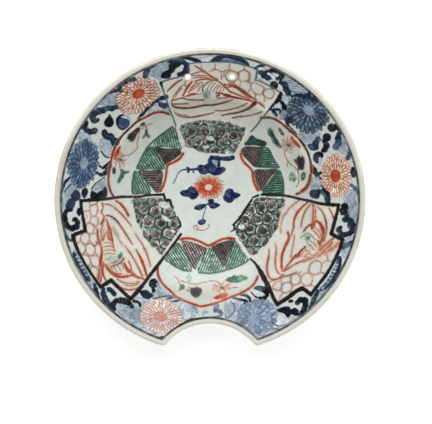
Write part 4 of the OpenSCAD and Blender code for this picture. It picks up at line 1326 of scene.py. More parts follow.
RIGHT_FAN_STROKES = [
    ((206, 150, 118), (2.4, 3.6, 3), "311,256.5 321,252 330,247.5 338,243"),
    ((206, 150, 118), (2, 3, 2), "316,257.5 325,254 333,249.5 338.5,246"),
    ((200, 134, 100), (1.4, 2.6, 1.6), "302,261.5 307,258.8 312,257.5"),
    (
        (184, 142, 122), (1.2, 2, 2),
        "299,200.7 293,205 287.5,210.5 283.5,216 281.5,222 280.7,228 280.7,233",
    ),
    ((184, 142, 122), 1.3, "296,202.5 290,208 286,214"),
    (IRON, (1.4, 3, 2.4, 1.4), "308,202 302,207 297,213 294,220 293.5,227 292,232 290.7,235.3"),
    ((166, 112, 92), (1.2, 2, 1.4), "312,203 307,208.5 304,214 302,220.5 301,227"),
    (IRON, (1.6, 2.2, 2.4), "312.8,204.5 313.2,212 312.7,221"),
    (IRON_FAINT, (1.2, 1.8, 2), "315,205.5 315.6,213 315.2,220.5"),
    (IRON_SOFT, (1.2, 2.2, 1.6), "317.5,206.7 322,211.5 325,218 326.5,226 326,234 324,241.5"),
    (IRON_SOFT, (1.4, 2.6), "329,208 331,212 333.7,217.7"),
    (IRON, (2, 4, 4.4, 3.4, 2), "316,220.7 320,223.5 322.5,229 323,235 321.5,240 319.3,246.5"),
    ((120, 70, 48), (1.2, 2.2, 2), "303.3,232.3 306,228 310,224.7"),
    ((122, 100, 84), (0.9, 1.3, 0.9), "300.5,238 304,235 308,233.3 312,236 316,240"),
    (IRON_SOFT, 1.4, "313,230.5 317,234 319.5,238"),
    (IRON_FAINT, 1.4, "315,227.5 319,231 321,236"),
    (
        IRON, (2, 3.6, 3, 2.4, 2.4),
        "287.7,232 288.7,238 286.7,243 284,249 282,255 281.5,261 281.5,267 282.7,271",
    ),
    (IRON_FAINT, (1, 2.2, 2.2, 1.4), "275.5,242.5 276.2,250 275.5,258 275.5,266 277.5,272 281.5,275.3"),
    (IRON_SOFT, (1.2, 2.6, 2.4, 1.8), "269,249.5 268.5,257 267,265 267,271 268.5,276 271.7,280"),
    (IRON_FAINT, 1.4, "294.5,235.5 293.5,243 292,250 290.7,257"),
    (IRON_DARK, 2.2, "305,247 302,250 299.3,252.7"),
    (IRON, 1.9, "283,271 287,266 291,261"),
    (IRON_SOFT, 1.7, "284.5,271 291,266.3 298,262.7 304.5,259.7"),
    (IRON_FAINT, (2, 4.4, 2), "303,261.5 308,259 313,257.7"),
    (IRON, (2, 3, 2), "318,240.5 320,246 320,250.5"),
    (IRON, (1.4, 2.4, 1.4), "320.5,246.5 325.5,244.3 330,240.7 333.7,237.7"),
    (IRON_SOFT, (1.4, 2.4), "321,249.3 325,246 329.3,241.7"),
    (IRON_SOFT, (1.4, 2.4), "323,251 328,246.7 332.3,242.3"),
    (IRON_FAINT, (1.6, 3), "321.5,253.7 328,251 334,247 337.7,243"),
    (IRON_FAINT, 1.6, "318,256 322,253 325,250.7"),
    (OLIVE, 1.6, "270,282 276,279.5 283,277 290,275 297,272"),
    (IRON_SOFT, 1.6, "272,279.7 278,278.7 283.5,274.7"),
    (OLIVE, 0.9, "310,241 314,243.7 316.7,247.7"),
    (OLIVE, 0.9, "307.3,243.3 311,246.3 314,250"),
    (OLIVE, 0.9, "305,249 309,251.7 311.7,255"),
    (IRON_FAINT, 1.2, "301.5,256.5 303,252.7 306,250.5 309,251.5"),
    (IRON_FAINT, 1.2, "304.5,257.3 306.7,254 310,253.5"),
    (IRON_FAINT, 1.2, "314,256 317.3,252.7 318.7,248"),
]
RIGHT_FAN_FILLS = [
    (IRON, "290,261.3 293,256.3 297,253 300.3,251.3 300,256.3 296,258.7 292,261.3"),
    ((152, 174, 160), "304.5,235 308,233.5 311,235.5 311,240 307.5,242.5 304.8,240"),
    (GREEN_SOFT, "306.7,237.3 308.5,236 310,237.7 309,239.8 307,239.5"),
    ((186, 94, 46), "312.5,221 315.5,220.5 316,224 313.5,228.5 311.5,230 310.5,226.5 310.7,223"),
    (IRON, "310.5,223.5 312.7,224.5 312.5,228.5 311,229.5"),
]
RIGHT_FAN_NET = [
    (
        "310,264.5 313.7,261.4 318,260.8 321.3,263.4 321,269.4 319.2,273 314,274.9 310.5,273 "
        "308.8,269.2 310,264.5"
    ),
    "321.4,263.4 324,262.2 327.3,260.7 331.3,262",
    "319.2,273 322.5,273 325.5,275.3",
    "327.3,254.5 327.6,258 328.6,261",
    (
        "301.3,276.7 304.5,273.9 308.3,273.3 311.8,276.2 312.2,281 310,284.8 306.3,285.8 302.7,284.2 "
        "300.7,280.5 301.3,276.7"
    ),
    "311.8,276.3 314,275",
    "310,284.9 313,285.8 316.7,287.8",
    (
        "290.7,277.5 293.3,274.7 297,273.8 299.7,276.3 300.3,280.6 298.3,283.8 294.3,284.7 291,282 "
        "290.7,277.5"
    ),
    "299.8,275.9 299.2,273.6 301.2,271.8",
    "308.8,269.3 308.6,272.9",
    (
        "281.4,287 284,283.4 288,282.3 291.4,284 292.3,287.5 290,290.7 286.5,292.8 283,292.3 281,290 "
        "281.4,287"
    ),
    "272.7,286.2 275,283 279,281.3 281.6,283.2 281.6,287 280.7,289.8 276,290 273,288.6 272.7,286.2",
    "281.4,283 281,280 280.4,277.6",
    "290.8,277.5 290.3,275",
    "284,292.7 281,295.5 279.6,300",
    "290,290.8 290.1,294.2",
    "294.3,284.8 292.3,286.3",
    "298.3,283.9 300.8,281.6",
]

# Dots on the birds' bodies
STIPPLES = (
    "86.8,215.5 87.5,217.3 109.3,259.7 111,257.3 113,259.3 114.7,256.7 116,259.7 117.5,257.3 111.7,261 "
    "114.5,261 312,242 314,243.5 316,246 311.5,245 313.5,247 315,249.5 309,246 310,249 317,243.7"
)
# Round the cord holes in the top fan: a painted ring, and a peach stain
HOLE_RING = (232.0, 76.2, 6.3, 5.3)
HOLE_STAIN = "187,81 190.5,81 190.8,86 188.7,89 187,86"

# Brocades at the fans' inner ends: outline, cells as x,y,rx,ry,tilt, and worn places
BROCADES = [
    (
        (
            "180,127 187,123 195,121.3 203,120 212,120 220,121.3 229,123.3 238,125.5 245,130.5 243,137 "
            "238.5,146 234,153 226,154 218,153.5 208,153 199,151.5 193,148 187,147.5 184,140 181,133"
        ),
        (
            "191,131.5,4.4,4.4,0 204.6,131.2,5.4,5,0 219.6,131.9,6.4,5,0 233.3,135.5,4.8,4.4,0 "
            "198.3,141,3.8,4.2,0 210,142,5,1.8,0 223.3,143.3,4.8,3.2,0 234.5,146,3.2,2.4,0 "
            "189,142.6,2.4,3.8,-15 215,150.5,5.4,2.4,0 202,149.5,3.6,1.8,20 195.5,123.8,5.6,1.4,-6 "
            "211.5,122,6,1.7,2 229.2,125.3,6,2.2,14 242.6,129.4,3,2.4,40 182.6,126.8,2.2,1.9,0 "
            "229,151,3.4,1.6,0"
        ),
        (
            "206,138 210,136.3 214,137.5 213,140 208,139.7",
            "225,152.7 228,150.6 231.5,152 232,154 226,154.3",
            "203,146 208,145.3 209,147.5 204,148",
        ),
    ),
    (
        (
            "133.5,199 145,198.3 158,197.5 163,198.5 168,202 172,207 176,215 179,222 180,227 177,233 "
            "172,240 166,249 163,254 160,253 156,249 150,244 146,238 142,230 138,222 135,212 133.3,205"
        ),
        (
            "134.8,204,1.5,4.4,8 143.3,208.6,3.8,4.8,0 155.8,211,4,5,0 168.3,212.6,3.6,4.8,0 "
            "137.5,218.8,1.7,5,-18 147.9,221.5,4.6,4.8,0 161.3,223.3,4.4,3.8,0 173.3,223.7,3.8,3.8,0 "
            "145,234,2.1,5.8,-24 155.8,233.7,4.4,4.6,0 168.6,233.3,3.8,3.4,0 154.7,244.9,4.8,2.7,28 "
            "165,243.4,4,3.8,0 153.6,200.4,3.6,2.3,0 141.5,199,3,1.2,0 161.7,253,1.8,1.6,0"
        ),
        (
            "158.5,203.5 163,201.3 168,203 170,206.5 165.5,208.5 160,206.3",
            "161.3,214.5 166,217.3 171.5,220.5 168,221.7 162.5,218.3",
            "171,229.5 175.5,231 173,233",
        ),
    ),
    (
        (
            "258,197.3 268,197.7 278,198.7 285.3,200 284,207 281,213 279,221 276,229 272,236 266,243.5 "
            "260,249.5 255,255 250,254.3 246,249 241,241 236,233 236,227 240,219 247,210 252,203"
        ),
        (
            "251.3,210.2,3.6,4,0 261.3,208,4,4.2,0 272,204.8,4.2,4.8,0 282.4,201.4,2.6,2.7,0 "
            "245.9,219,3.6,4,0 257,219.4,4.2,4.2,0 268,218.3,4.2,4.6,0 277.8,214.3,2.4,4.8,8 "
            "275.4,226.3,2.4,4,22 249.6,228.6,3.8,3.7,0 262,230.7,5.4,4.3,0 254.2,241,4.6,4.4,0 "
            "265.3,241.6,2.2,4.8,36 254.5,252.2,3.6,2.4,-20 242.5,236.5,3,3.2,0 262.5,199.4,3.8,1.7,0 "
            "241,227,2.4,2.4,0"
        ),
        (
            "238.5,226 241.5,224 244.5,226.3 242.5,229 239.5,228.5",
            "279,209.3 282.7,207.7 282.3,211.3 280,211.5",
        ),
    ),
]
# Bird strokes from this width on are washed first, then drawn narrower and a little to one side.
WASHED_STROKE_W = 2.4


class Fan(NamedTuple):
    """A fan panel's drawing, and how strongly it is brushed."""

    lines: list
    strokes: list
    fills: list
    net: list
    net_colour: tuple
    net_w: float
    net_halo: float
    # Depth darkens the fan's ink and halo; the top fan's low depth is painted shade
    depth: float
    halo_w: float


FANS = [
    Fan(
        TOP_FAN_LINES, TOP_FAN_STROKES, TOP_FAN_FILLS, TOP_FAN_NET, NET_BROWN,
        net_w=1.5, net_halo=0.35, depth=0.74, halo_w=2.2,
    ),
    Fan(
        LEFT_FAN_LINES, LEFT_FAN_STROKES, LEFT_FAN_FILLS, LEFT_FAN_NET, NET_ROSE,
        net_w=1.6, net_halo=0.24, depth=0.93, halo_w=3.2,
    ),
    Fan(
        RIGHT_FAN_LINES, RIGHT_FAN_STROKES, RIGHT_FAN_FILLS, RIGHT_FAN_NET, NET_RED,
        net_w=1.8, net_halo=0.28, depth=1.0, halo_w=3.2,
    ),
]


def paint_diaper(fan):
    """The fan's hexagons: a peach halo that has run into the glaze, then the lines."""
    for path in fan.net:
        sheet.brush(path, fan.net_w + 1.3, PEACH, fan.net_halo, FLAT)
    for path in fan.net:
        sheet.brush(path, fan.net_w, fan.net_colour, 0.85, THIN, 0.5)


def paint_bird(fan):
    """The strokes of the fan's bird, each in a peach halo."""
    for colour, width, path in fan.strokes:
        # The ink darkens with the fan's depth, which in the top fan is painted shade
        ink = np.multiply(colour, fan.depth)
        sheet.brush(path, np.add(width, fan.halo_w), PEACH, 0.32 * fan.depth, FLAT)
        if np.max(width) >= WASHED_STROKE_W:
            wash = np.multiply(colour, 0.55) + np.multiply(PEACH, 0.42)
            sheet.brush(path, width, wash, 0.95, THIN, 0.4)
            sheet.brush(dots(path) + (0.3, 0.2), np.multiply(width, 0.68), ink, 0.95, THIN, 0.4)
        else:
            sheet.brush(path, width, ink, 0.95, THIN, 0.4)


def paint_fans():
    for outline, cells, worn in BROCADES:
        sheet.brocade(outline, cells, worn)
    for fan in FANS:
        paint_diaper(fan)
    sheet.brush(ellipse(*HOLE_RING), 1.7, NET_BROWN, 0.9, closed=True)
    sheet.fill(HOLE_STAIN, PEACH, 0.6)
    for fan in FANS:
        paint_bird(fan)
    for fan in FANS:
        for colour, path in fan.fills:
            sheet.fill(path, colour, 0.85, THIN, 0.4)
    for x, y in dots(STIPPLES):
        sheet.fill(ellipse(x, y, 0.7, 0.6, count=8), STIPPLE, 0.8)
    for fan in FANS:
        for colour, width, path in fan.lines:
            sheet.brush(path, width, colour, 0.97, THIN, 0.1)


# Triangles round the centre: colour, outline, angle and strength of the pale hatching
TRIANGLES = [
    (
        GREEN,
        "172,127 176,129 179,138 181.5,149 174,148 165,146.5 155,146 154.5,143 160,136.5 166,132",
        78, 0.72,
    ),
    (AUBERGINE, "156,147.5 166,148.8 176,149.5 181,152 178,156 171,161 166,165 163,160 159,153", 20, 0.3),
    (GREEN, "154,147 146,150.5 142,159 137.5,165.5 138,169 150,169 163.5,169 163,163 159,156", 58, 0.6),
    (AUBERGINE, "139,171 150,171 161.5,171 162,180 160,190 156,192 151,186 145,178", 2, 0.55),
    (GREEN, "134.5,172 138,172 143,177 149,186 150,193 142,193.5 133,193.5 132,186 133,178", 62, 0.65),
    (GREEN, "251.5,135.5 256,138.5 262,140.5 266,142.5 264.5,146 255,145 245,144.7 248,140", 10, 0.15),
    (
        AUBERGINE,
        "247,146.7 256,147.2 263.5,147.7 261,154 258,160 255,166.5 249,161 243,155 241,151.5 243,148.3",
        50, 0.42,
    ),
    (GREEN, "264,148 269,149 272,155 275,161 279.3,167.7 270,167.7 258,167.2 256,166 260,158", 4, 0.45),
    (AUBERGINE, "256,170 265,169.7 277,169.7 272,175 267,182 263,190 259,189 256,181 254,174", 118, 0.42),
    (
        GREEN,
        "279.5,170.5 282,175 283.5,182 284,190 282.5,194.3 270,194 263,193 266,187 271,179 276,173",
        178, 0.4,
    ),
    (
        GREEN,
        "177,243.5 181,246 187,254 191,261 192,266 190,270.5 183,269 175,266.5 170,262.5 165,260 170,253",
        56, 0.85,
    ),
    (
        AUBERGINE,
        "182,241.3 188,241.7 196,243.7 203,247 208,249.7 202,255 198,262 195,269 192,264 188,256 184,248",
        62, 0.8,
    ),
    (
        GREEN,
        "209,248 214,252 219,259 223,268.5 217,272 208,273 200,272.5 198,269 200,262 204,255",
        112, 0.95,
    ),
    (
        AUBERGINE,
        "212,246 219,243.3 226,241.3 234,239.7 235,242 231,248 227,256 224,266 220,260 215,252",
        55, 0.35,
    ),
    (GREEN, "235,243 239,245 244,252 248,260 242,264 234,267.5 226,269.5 226,264 229,255", 112, 0.8),
]
# Their dark lines and pale scratches
TRIANGLE_LINES = {
    GREEN: ((8, 40, 32), (204, 226, 214)),
    AUBERGINE: ((30, 23, 23), (192, 182, 176)),
}
# The band's outer line, the red line round the centre, and the lobed panels' red lines
BAND_EDGES = [
    "172,127 163,133.3 155,139.7 148,147 143,155 139,163 137,168.5",
    "170,262.7 177,267.3 184,270.3 191,271",
    "199,272.5 208,273.3 216,272.7 224,270.7 234,267.7 242,264.3 248,260.7",
    "133,193.5 132.2,186 133.3,177 134.7,172",
]
BRACKETS = [
    "183.3,153.3 179,159 173,162.7 167.5,165.7 166.5,172 165.5,178 163.5,185 160.3,191.3",
    "240.5,153.7 242,159 245.5,163.7 250,168 252.5,172 253,178 254.7,184 258,190.3",
    (
        "180,239.7 185,238.4 190,238.5 195,239.8 201,242 206,244.7 208.8,245.6 212,244.2 217,241.6 "
        "222,239.4 228,238.3 234,238.8"
    ),
]
LOBED_OUTLINES = [
    (IRON_DARK, "168.7,114 163,112.3 157.5,112.2 151,114.3 145,117.5 138,121"),
    ((62, 48, 42), "141,119 137,121.7 130,128 122,136 117,143 114.5,149"),
    (IRON_DARK, "115.3,147 113.3,151.5 111.5,159 110,167 108.5,176 108.8,185 111,192 114,197.3"),
    ((92, 46, 36), "261,118 268,117.5 274,118.8 281,123 288,129"),
    ((110, 46, 32), "287,128 291.5,132 296,136 300,140"),
    ((60, 42, 37), "299,139 303,144 308,153 310.5,162 311,168"),
    (IRON_DARK, "311,166 311.2,172 310.5,180 307.5,187.5 302,192 296.5,194"),
    (IRON_DARK, "310.3,175 309,181 306,187 301,191.3"),
    (
        IRON,
        "157.7,266.5 158,274 161,281 165,286 170,290.5 176,296.5 184,300.5 192,303.5 200.5,306.3 "
        "208,305 216,303 224,300 231,297 238,294.5 245,291 251,287 255,282.5 258,276.3",
    ),
]


def paint_triangles():
    for colour, path, angle, pale in TRIANGLES:
        dark, scratch = TRIANGLE_LINES[colour]
        sheet.fill(path, colour, 0.95, THICK, 0.4, edge=colour, edge_w=1.0)
        sheet.hatch(path, angle, 3.3, 1.1, dark, 0.6, THICK, 0.8)
        scratch_w, strength = 0.48 + 0.5 * pale, min(1, 1.15 * pale)
        sheet.hatch(path, angle, 2.3, scratch_w, scratch, strength, THICK, 1.0)


def paint_bands():
    paint_triangles()
    for path in BAND_EDGES:
        sheet.brush(path, 3.0, BAND_GREEN, 0.45, THICK, 0.5)
        sheet.brush(path, 1.3, BAND_LINE, 0.85)
    for path in BRACKETS:
        sheet.brush(path, 4.6, PEACH, 0.45, FLAT)
        sheet.brush(path, 2.5, IRON, 0.95)
    for colour, path in LOBED_OUTLINES:
        sheet.brush(path, 4.4, PEACH, 0.4, FLAT)
        sheet.brush(path, 2.3, colour, 0.95)


# Sprays in the lobed panels: leaves, stems, and flowers as place, radii and ink
SPRAY_FILLS = [
    ((50, 66, 50), "140.3,126.3 141,123.8 143,122.3 145,122.8 144.8,125 142.5,126"),
    (
        (48, 39, 32),
        "127.3,138.5 128,135.5 130.5,132.7 133.5,130.7 136.3,128.5 139,127.7 140,129.3 138.3,132.3 "
        "136.3,135.7 134.7,138.7 133,141.3 131,141 129,139.7",
    ),
    (
        (84, 112, 94),
        "145.3,129.3 147,129.7 148,133 150.3,137 147.7,137.7 146,136 143.3,138.7 142.3,136.7 144.7,134",
    ),
    ((52, 74, 58), "145.7,130 146.8,130.3 147.7,134.3 146,135.5 145,133.7"),
    (
        IRON,
        "113.8,158.7 114,155 115,151.5 117,149 119.5,146 120.7,147.3 119.7,151 118.5,154 116.7,157 "
        "115.7,158.7",
    ),
    ((96, 34, 24), "117.3,151 119,150.3 119,152.7 117.5,153"),
    (
        (58, 98, 78),
        "120.7,169 123.3,170 126,171.3 129,171 128.7,172.7 124.7,173.3 124,176.3 122,179.3 119.5,182.3 "
        "117.3,181.7 118.5,178 120.5,174",
    ),
    ((46, 66, 54), "112.7,168 114.5,167.3 115.7,169.7 115.5,173 113,173.7 112.3,171"),
    (
        (60, 104, 82),
        "267.7,133.5 268.3,130 270,128 271.8,129.5 273.7,134 276.5,138 278.3,141 279.7,144.5 "
        "281.7,147.7 279,147 276,145 273.3,142.7 271.7,139.3 269.7,136.3",
    ),
    (
        (34, 72, 56),
        "271,131 272.7,134.5 275.7,138.7 277.7,142 279.7,146 277,143.7 274.5,140.5 272.3,136.7 270.7,133",
    ),
    ((46, 74, 58), "278.3,128.3 280.3,128.5 282.5,131.5 284,134.5 281.7,135 279.7,131.7"),
    (
        (166, 70, 40),
        "290.7,136 293,137.7 295.7,140 298.3,143 300.5,147 298.5,147.7 296,145.7 293.3,142.7 291.3,139",
    ),
    (
        (58, 46, 40),
        "294.3,159.5 296.5,158.7 298.3,156 300.3,157 303,156.3 304.3,159.3 304.7,163 303.7,166 "
        "303.5,169.7 300.5,169.3 298.3,170 298,166.7 296.7,164 295,161.7",
    ),
    ((34, 26, 24), "298,159 301.5,158.5 302.7,162 302,166.7 299.7,167.7 298.7,163"),
    (
        (104, 148, 124),
        "289,178 290.7,172.3 293,172.3 294.7,175 296.3,178.5 294.3,182.3 292,180.7 289.7,180.3",
    ),
    ((52, 84, 66), "301,176 302.3,172.7 304.8,172.7 305.5,176 304,179.7 301.5,180.3"),
    ((70, 104, 84), "179,290.5 179.7,286.5 181.5,284.3 183.7,284.7 184.7,288 182.5,289.7 180.5,290"),
    ((150, 178, 164), "187.3,281.7 186.5,277.5 188.5,274 190.7,276.3 192.3,280.3 189.5,281.7"),
    (
        (58, 44, 40),
        "190.3,289.5 192.5,287.7 194.5,288 196.3,287.3 200,288 202,290.3 200.7,293.5 198.7,296.3 "
        "195.5,297.3 192.5,296 190.7,293",
    ),
    ((34, 26, 25), "192.5,289.5 196,288.7 199.3,290.3 198.3,293.7 195.3,295.5 192.7,293.3"),
    ((150, 150, 138), "186,289.5 189.5,288.7 190.3,291 187,291.3"),
    (
        (204, 88, 54),
        "213.7,297.7 218,295 222,293.7 225,292.7 227.7,294.5 226,296.7 223,298.7 219,299.3 216,299",
    ),
    ((150, 56, 36), "214.5,297.3 218,296 220,297.3 217,298.3"),
    (
        (54, 88, 74),
        "225.7,279.7 229,277.7 232,276.5 234,275.3 236.3,276 239,276.3 240,281.7 233,282.7 228.5,281.7",
    ),
    ((92, 150, 104), "238.5,276.3 241,274.5 243.5,275.7 246.7,276.7 246.7,279.5 243,280.7 239,281.7"),
]
SPRAY_STEMS = [
    "139.7,131.5 138.3,138 137,144 137.7,147.3 135,150.5 131,154 127.5,155.3 123.5,155.3",
    "145,126 147,128 146.3,130",
    "144.5,124.7 148,125 152.5,123.3",
    "140.5,129.5 143,128 147,126.3",
    (
        "285.5,149 284.5,153 286,157.5 288,161 291,164.5 294.5,167 297.5,170.5 298.8,175 299,180 "
        "298,184.5 296,186.7"
    ),
    "288,161.5 287.3,166.3",
    "174.7,276 178,279.7 179.5,283 180.3,286",
    "181,280.5 187,282.7 192,283.9 197,284 202,282.7 207,282",
    "209,281.3 213,280.7 218,281.5",
    "188,287 192,288.7",
    "232,288 235,287.2 237.5,287.5",
]
PINK_FLOWERS = [
    ((119.3, 159.0), 7.5, 9.3, IRON_SOFT),
    ((287.8, 144.5), 8.0, 9.0, (176, 118, 98)),
    ((221.5, 287.3), 10.5, 6.3, (172, 98, 74)),
]
PINK_PETALS = 15


def paint_pink_flower(cx, cy, rx, ry, ink):
    """A star of thin bent petals round a green heart."""
    for i in range(PINK_PETALS):
        a = i * 2 * math.pi / PINK_PETALS + rng.uniform(-0.14, 0.14)
        far, bend = rng.uniform(0.72, 1.05), rng.uniform(-0.2, 0.2)
        line = [(0.3, a), (0.65, a + bend), (far, a)]
        path = np.array([(cx + k * rx * math.cos(t), cy + k * ry * math.sin(t)) for k, t in line])
        sheet.brush(path, (2.0, 1.4), BLUSH, 0.75)
        sheet.brush(path, (0.6, 1.0, 0.6), ink, 0.75, THIN, 0.6)
    sheet.fill(ellipse(cx + 0.5, cy + 0.6, 2.7, 1.7, 20), PINK_HEART, 0.9)


def paint_sprays():
    for path in SPRAY_STEMS:
        sheet.brush(path, 1.0, IRON_SOFT, 0.85)
    for place, rx, ry, ink in PINK_FLOWERS:
        paint_pink_flower(*place, rx, ry, ink)
    for colour, path in SPRAY_FILLS:
        sheet.fill(path, colour, 0.92, THICK, 0.6)
        sheet.fray(path, colour)


# The centre's spray: blue leaves, stems, and a red flower of four rounds of strokes
CENTRE_LEAVES = [
    (
        "197.5,167 200,165 204.5,165.5 208,163.5 211,163 214.5,165 216.5,167.5 220,167.5 223,167 "
        "225.7,169.5 222.5,172.7 219,174.7 214,175.2 209,173 205,174.2 201,173.7 198.7,171"
    ),
    (
        "180.3,192.5 183,190.5 187,190 189.5,187.3 192,186.3 195,188.7 197.7,192 198.2,195 195.7,198.2 "
        "192,199.3 188.5,196.7 184,196.2 181.3,194.7"
    ),
    (
        "223.3,197.5 224.5,194.5 226,191 229,189 232.7,189.8 234,192.5 237,193 240.3,195 237,197.7 "
        "234,199.3 232,201.7 228.5,202.7 225,200.7"
    ),
    "194.3,208.5 197.5,205.3 202,204.3 206.3,204.8 203,208.2 199,210",
    "209,203 212,202.3 216,203 219.8,205 216,207.7 212,208.5 209.3,206",
    "208.3,200 213,199.3 213.2,202.5 210,203.7",
    "197.8,222.5 200,220.3 203.5,219.3 205.7,221 204,223.7 200.5,224.7",
]
CENTRE_STROKES = [
    ((30, 44, 82), 4.2, "210,164 210,160 212,157.7"),
    ((30, 44, 82), (4.6, 4.2, 4.4, 5), "211.7,157.6 217,158 223,158.6 229,158.6 232.5,157.7"),
    (COBALT, 3, "219.7,159 219,163 218.7,167"),
    ((38, 54, 96), (2.6, 2, 1.6), "198,169 192,169.4 186,169.5 182,170"),
    ((92, 116, 152), (1.6, 1.4, 1), "182,170 178.5,173 176,178 173.3,183.5"),
    (COBALT, (1.6, 2.4), "187,167.3 189.3,169 188,172"),
    (COBALT_MID, 1.6, "192.5,169.5 193.7,172.5"),
    (COBALT, 1.6, "205.5,205 208.5,203.7"),
    (COBALT_SOFT, 1.2, "206.5,205 205,210 203.5,215 202.7,219.5"),
    (
        IRON_SOFT, 0.9,
        "193.7,226.5 196.5,225.2 197.5,228.5 199.5,230 204,230.2 207.5,228.5 209.3,225.5 208,224.3",
    ),
    (IRON_FAINT, 0.9, "193.5,227 195,229.5 198,230"),
]
CENTRE_LEAF_WASH = "211.5,159.5 218.5,160 219,166 212,166"
CENTRE_FLOWER = (208.6, 187.2)
CENTRE_FLOWER_RADII = (15.6, 12.6)
# Count, reach from the heart to the edge, width and colour of each round
CENTRE_RAYS = [
    (40, (0.5, 1.03), 0.9, IRON_SOFT),
    (32, (0.36, 0.92), 1.2, (216, 98, 56)),
    (24, (0.27, 0.72), 1.3, (190, 66, 34)),
    (9, (0.28, 0.66), 0.8, (120, 40, 26)),
]


def paint_centre():
    cx, cy = CENTRE_FLOWER
    rx, ry = CENTRE_FLOWER_RADII
    for count, reach, width, colour in CENTRE_RAYS:
        for i in range(count):
            a = (i + rng.uniform(-0.25, 0.25)) * 2 * math.pi / count
            far = reach[1] * rng.uniform(0.86, 1.05)
            ends = [(cx + k * rx * math.cos(a), cy + k * ry * math.sin(a)) for k in (reach[0], far)]
            sheet.brush(np.array(ends), (width, width * 0.8), colour, 0.85)
    sheet.fill(ellipse(cx, cy + 0.4, 3.5, 2.8), CENTRE_HEART)
    sheet.fill(CENTRE_LEAF_WASH, CENTRE_WASH, 0.7, FLAT, 0.5)
    for path in CENTRE_LEAVES:
        sheet.fill(path, CENTRE_BLUE, 0.95, FLAT, 0.45, edge=CENTRE_BLUE_DARK, edge_w=0.7)
    for colour, width, path in CENTRE_STROKES:
        sheet.brush(path, width, colour, 0.95, FLAT, 0.2)


paint_grounds()
paint_rim()
paint_bands()
paint_sprays()
paint_fans()
paint_centre()


def from_srgb(colour):
    """Linear colour from 0 to 1, from sRGB values of 0 to 255."""
    c = np.clip(colour / 255, 0, 1)
    return np.where(c <= 0.04045, c / 12.92, ((c + 0.055) / 1.055) ** 2.4)


def read_sheet(layer, px):
    """The sheet's values at places in photo pixels, blended between its dots."""
    x = np.clip(px[:, 0] * FINE, 0, layer.shape[1] - 1.01)
    y = np.clip(px[:, 1] * FINE, 0, layer.shape[0] - 1.01)
    i, j = y.astype(int), x.astype(int)
    shape = (-1,) + (1,) * (layer.ndim - 2)
    t, u = (y - i).reshape(shape), (x - j).reshape(shape)
    top = layer[i, j] * (1 - u) + layer[i, j + 1] * u
    return top * (1 - t) + (layer[i + 1, j] * (1 - u) + layer[i + 1, j + 1] * u) * t


def border_load(turn):
    """How much cobalt the border line took at an angle about the axis, as the brush ran dry."""
    slow = 0.2 * np.sin(7 * turn + 1) * np.sin(3 * turn)
    return 0.72 + slow + 0.1 * np.sin(41 * turn) + 0.08 * np.sin(97 * turn)


def paint_front(piece):
    """Gives the front face its colours and raises the enamels."""
    mesh = piece.data
    points = points_of(mesh)
    px = on_photo(points)
    colour = read_sheet(sheet.colour, px)
    relief = read_sheet(sheet.relief, px)
    inset = edge_distance(points[:, 0], points[:, 1])
    turn = np.arctan2(points[:, 1], points[:, 0])

    def over(paint, amount):
        colour[:] += amount[:, None] * (np.array(paint) - colour)

    over(BORDER_BLEED, step_between(BORDER_D + BORDER_W, BORDER_D, inset))
    line = step_between(BORDER_W, BORDER_W / 3, np.abs(inset - BORDER_D))
    over(BORDER_INK, border_load(turn) * line)
    lip = step_between(LIP_BAND_W + LIP_BAND_FADE, LIP_BAND_W - LIP_BAND_FADE, inset)
    over(CREAM, lip)
    # Painted shade on the lip band: darker at the sides, most on the left
    over(CREAM_SHADED, LIP_BAND_SHADE * lip_side_shade(turn) * lip)
    for hx, hy in HOLES:
        gap = np.hypot(points[:, 0] - hx, points[:, 1] - hy) - HOLE_R
        over(CREAM, step_between(*HOLE_CREAM_END, gap))
        relief *= step_between(*HOLE_ENAMEL_RISE, gap)
    relief *= step_between(LIP_BAND_W, LIP_BAND_W + LIP_ENAMEL_RISE, inset)

    paint = np.ones((len(points), 4), np.float32)
    paint[:, :3] = from_srgb(colour)
    mesh.color_attributes.new("paint", "FLOAT_COLOR", "POINT").data.foreach_set("color", paint.ravel())
    enamel = np.clip(relief / THICK, 0, 1).astype(np.float32)
    mesh.attributes.new("enamel", "FLOAT", "POINT").data.foreach_set("value", enamel)
    points[:, 2] += relief
    mesh.vertices.foreach_set("co", (points * MM).astype(np.float32).ravel())
    mesh.update()


# Materials


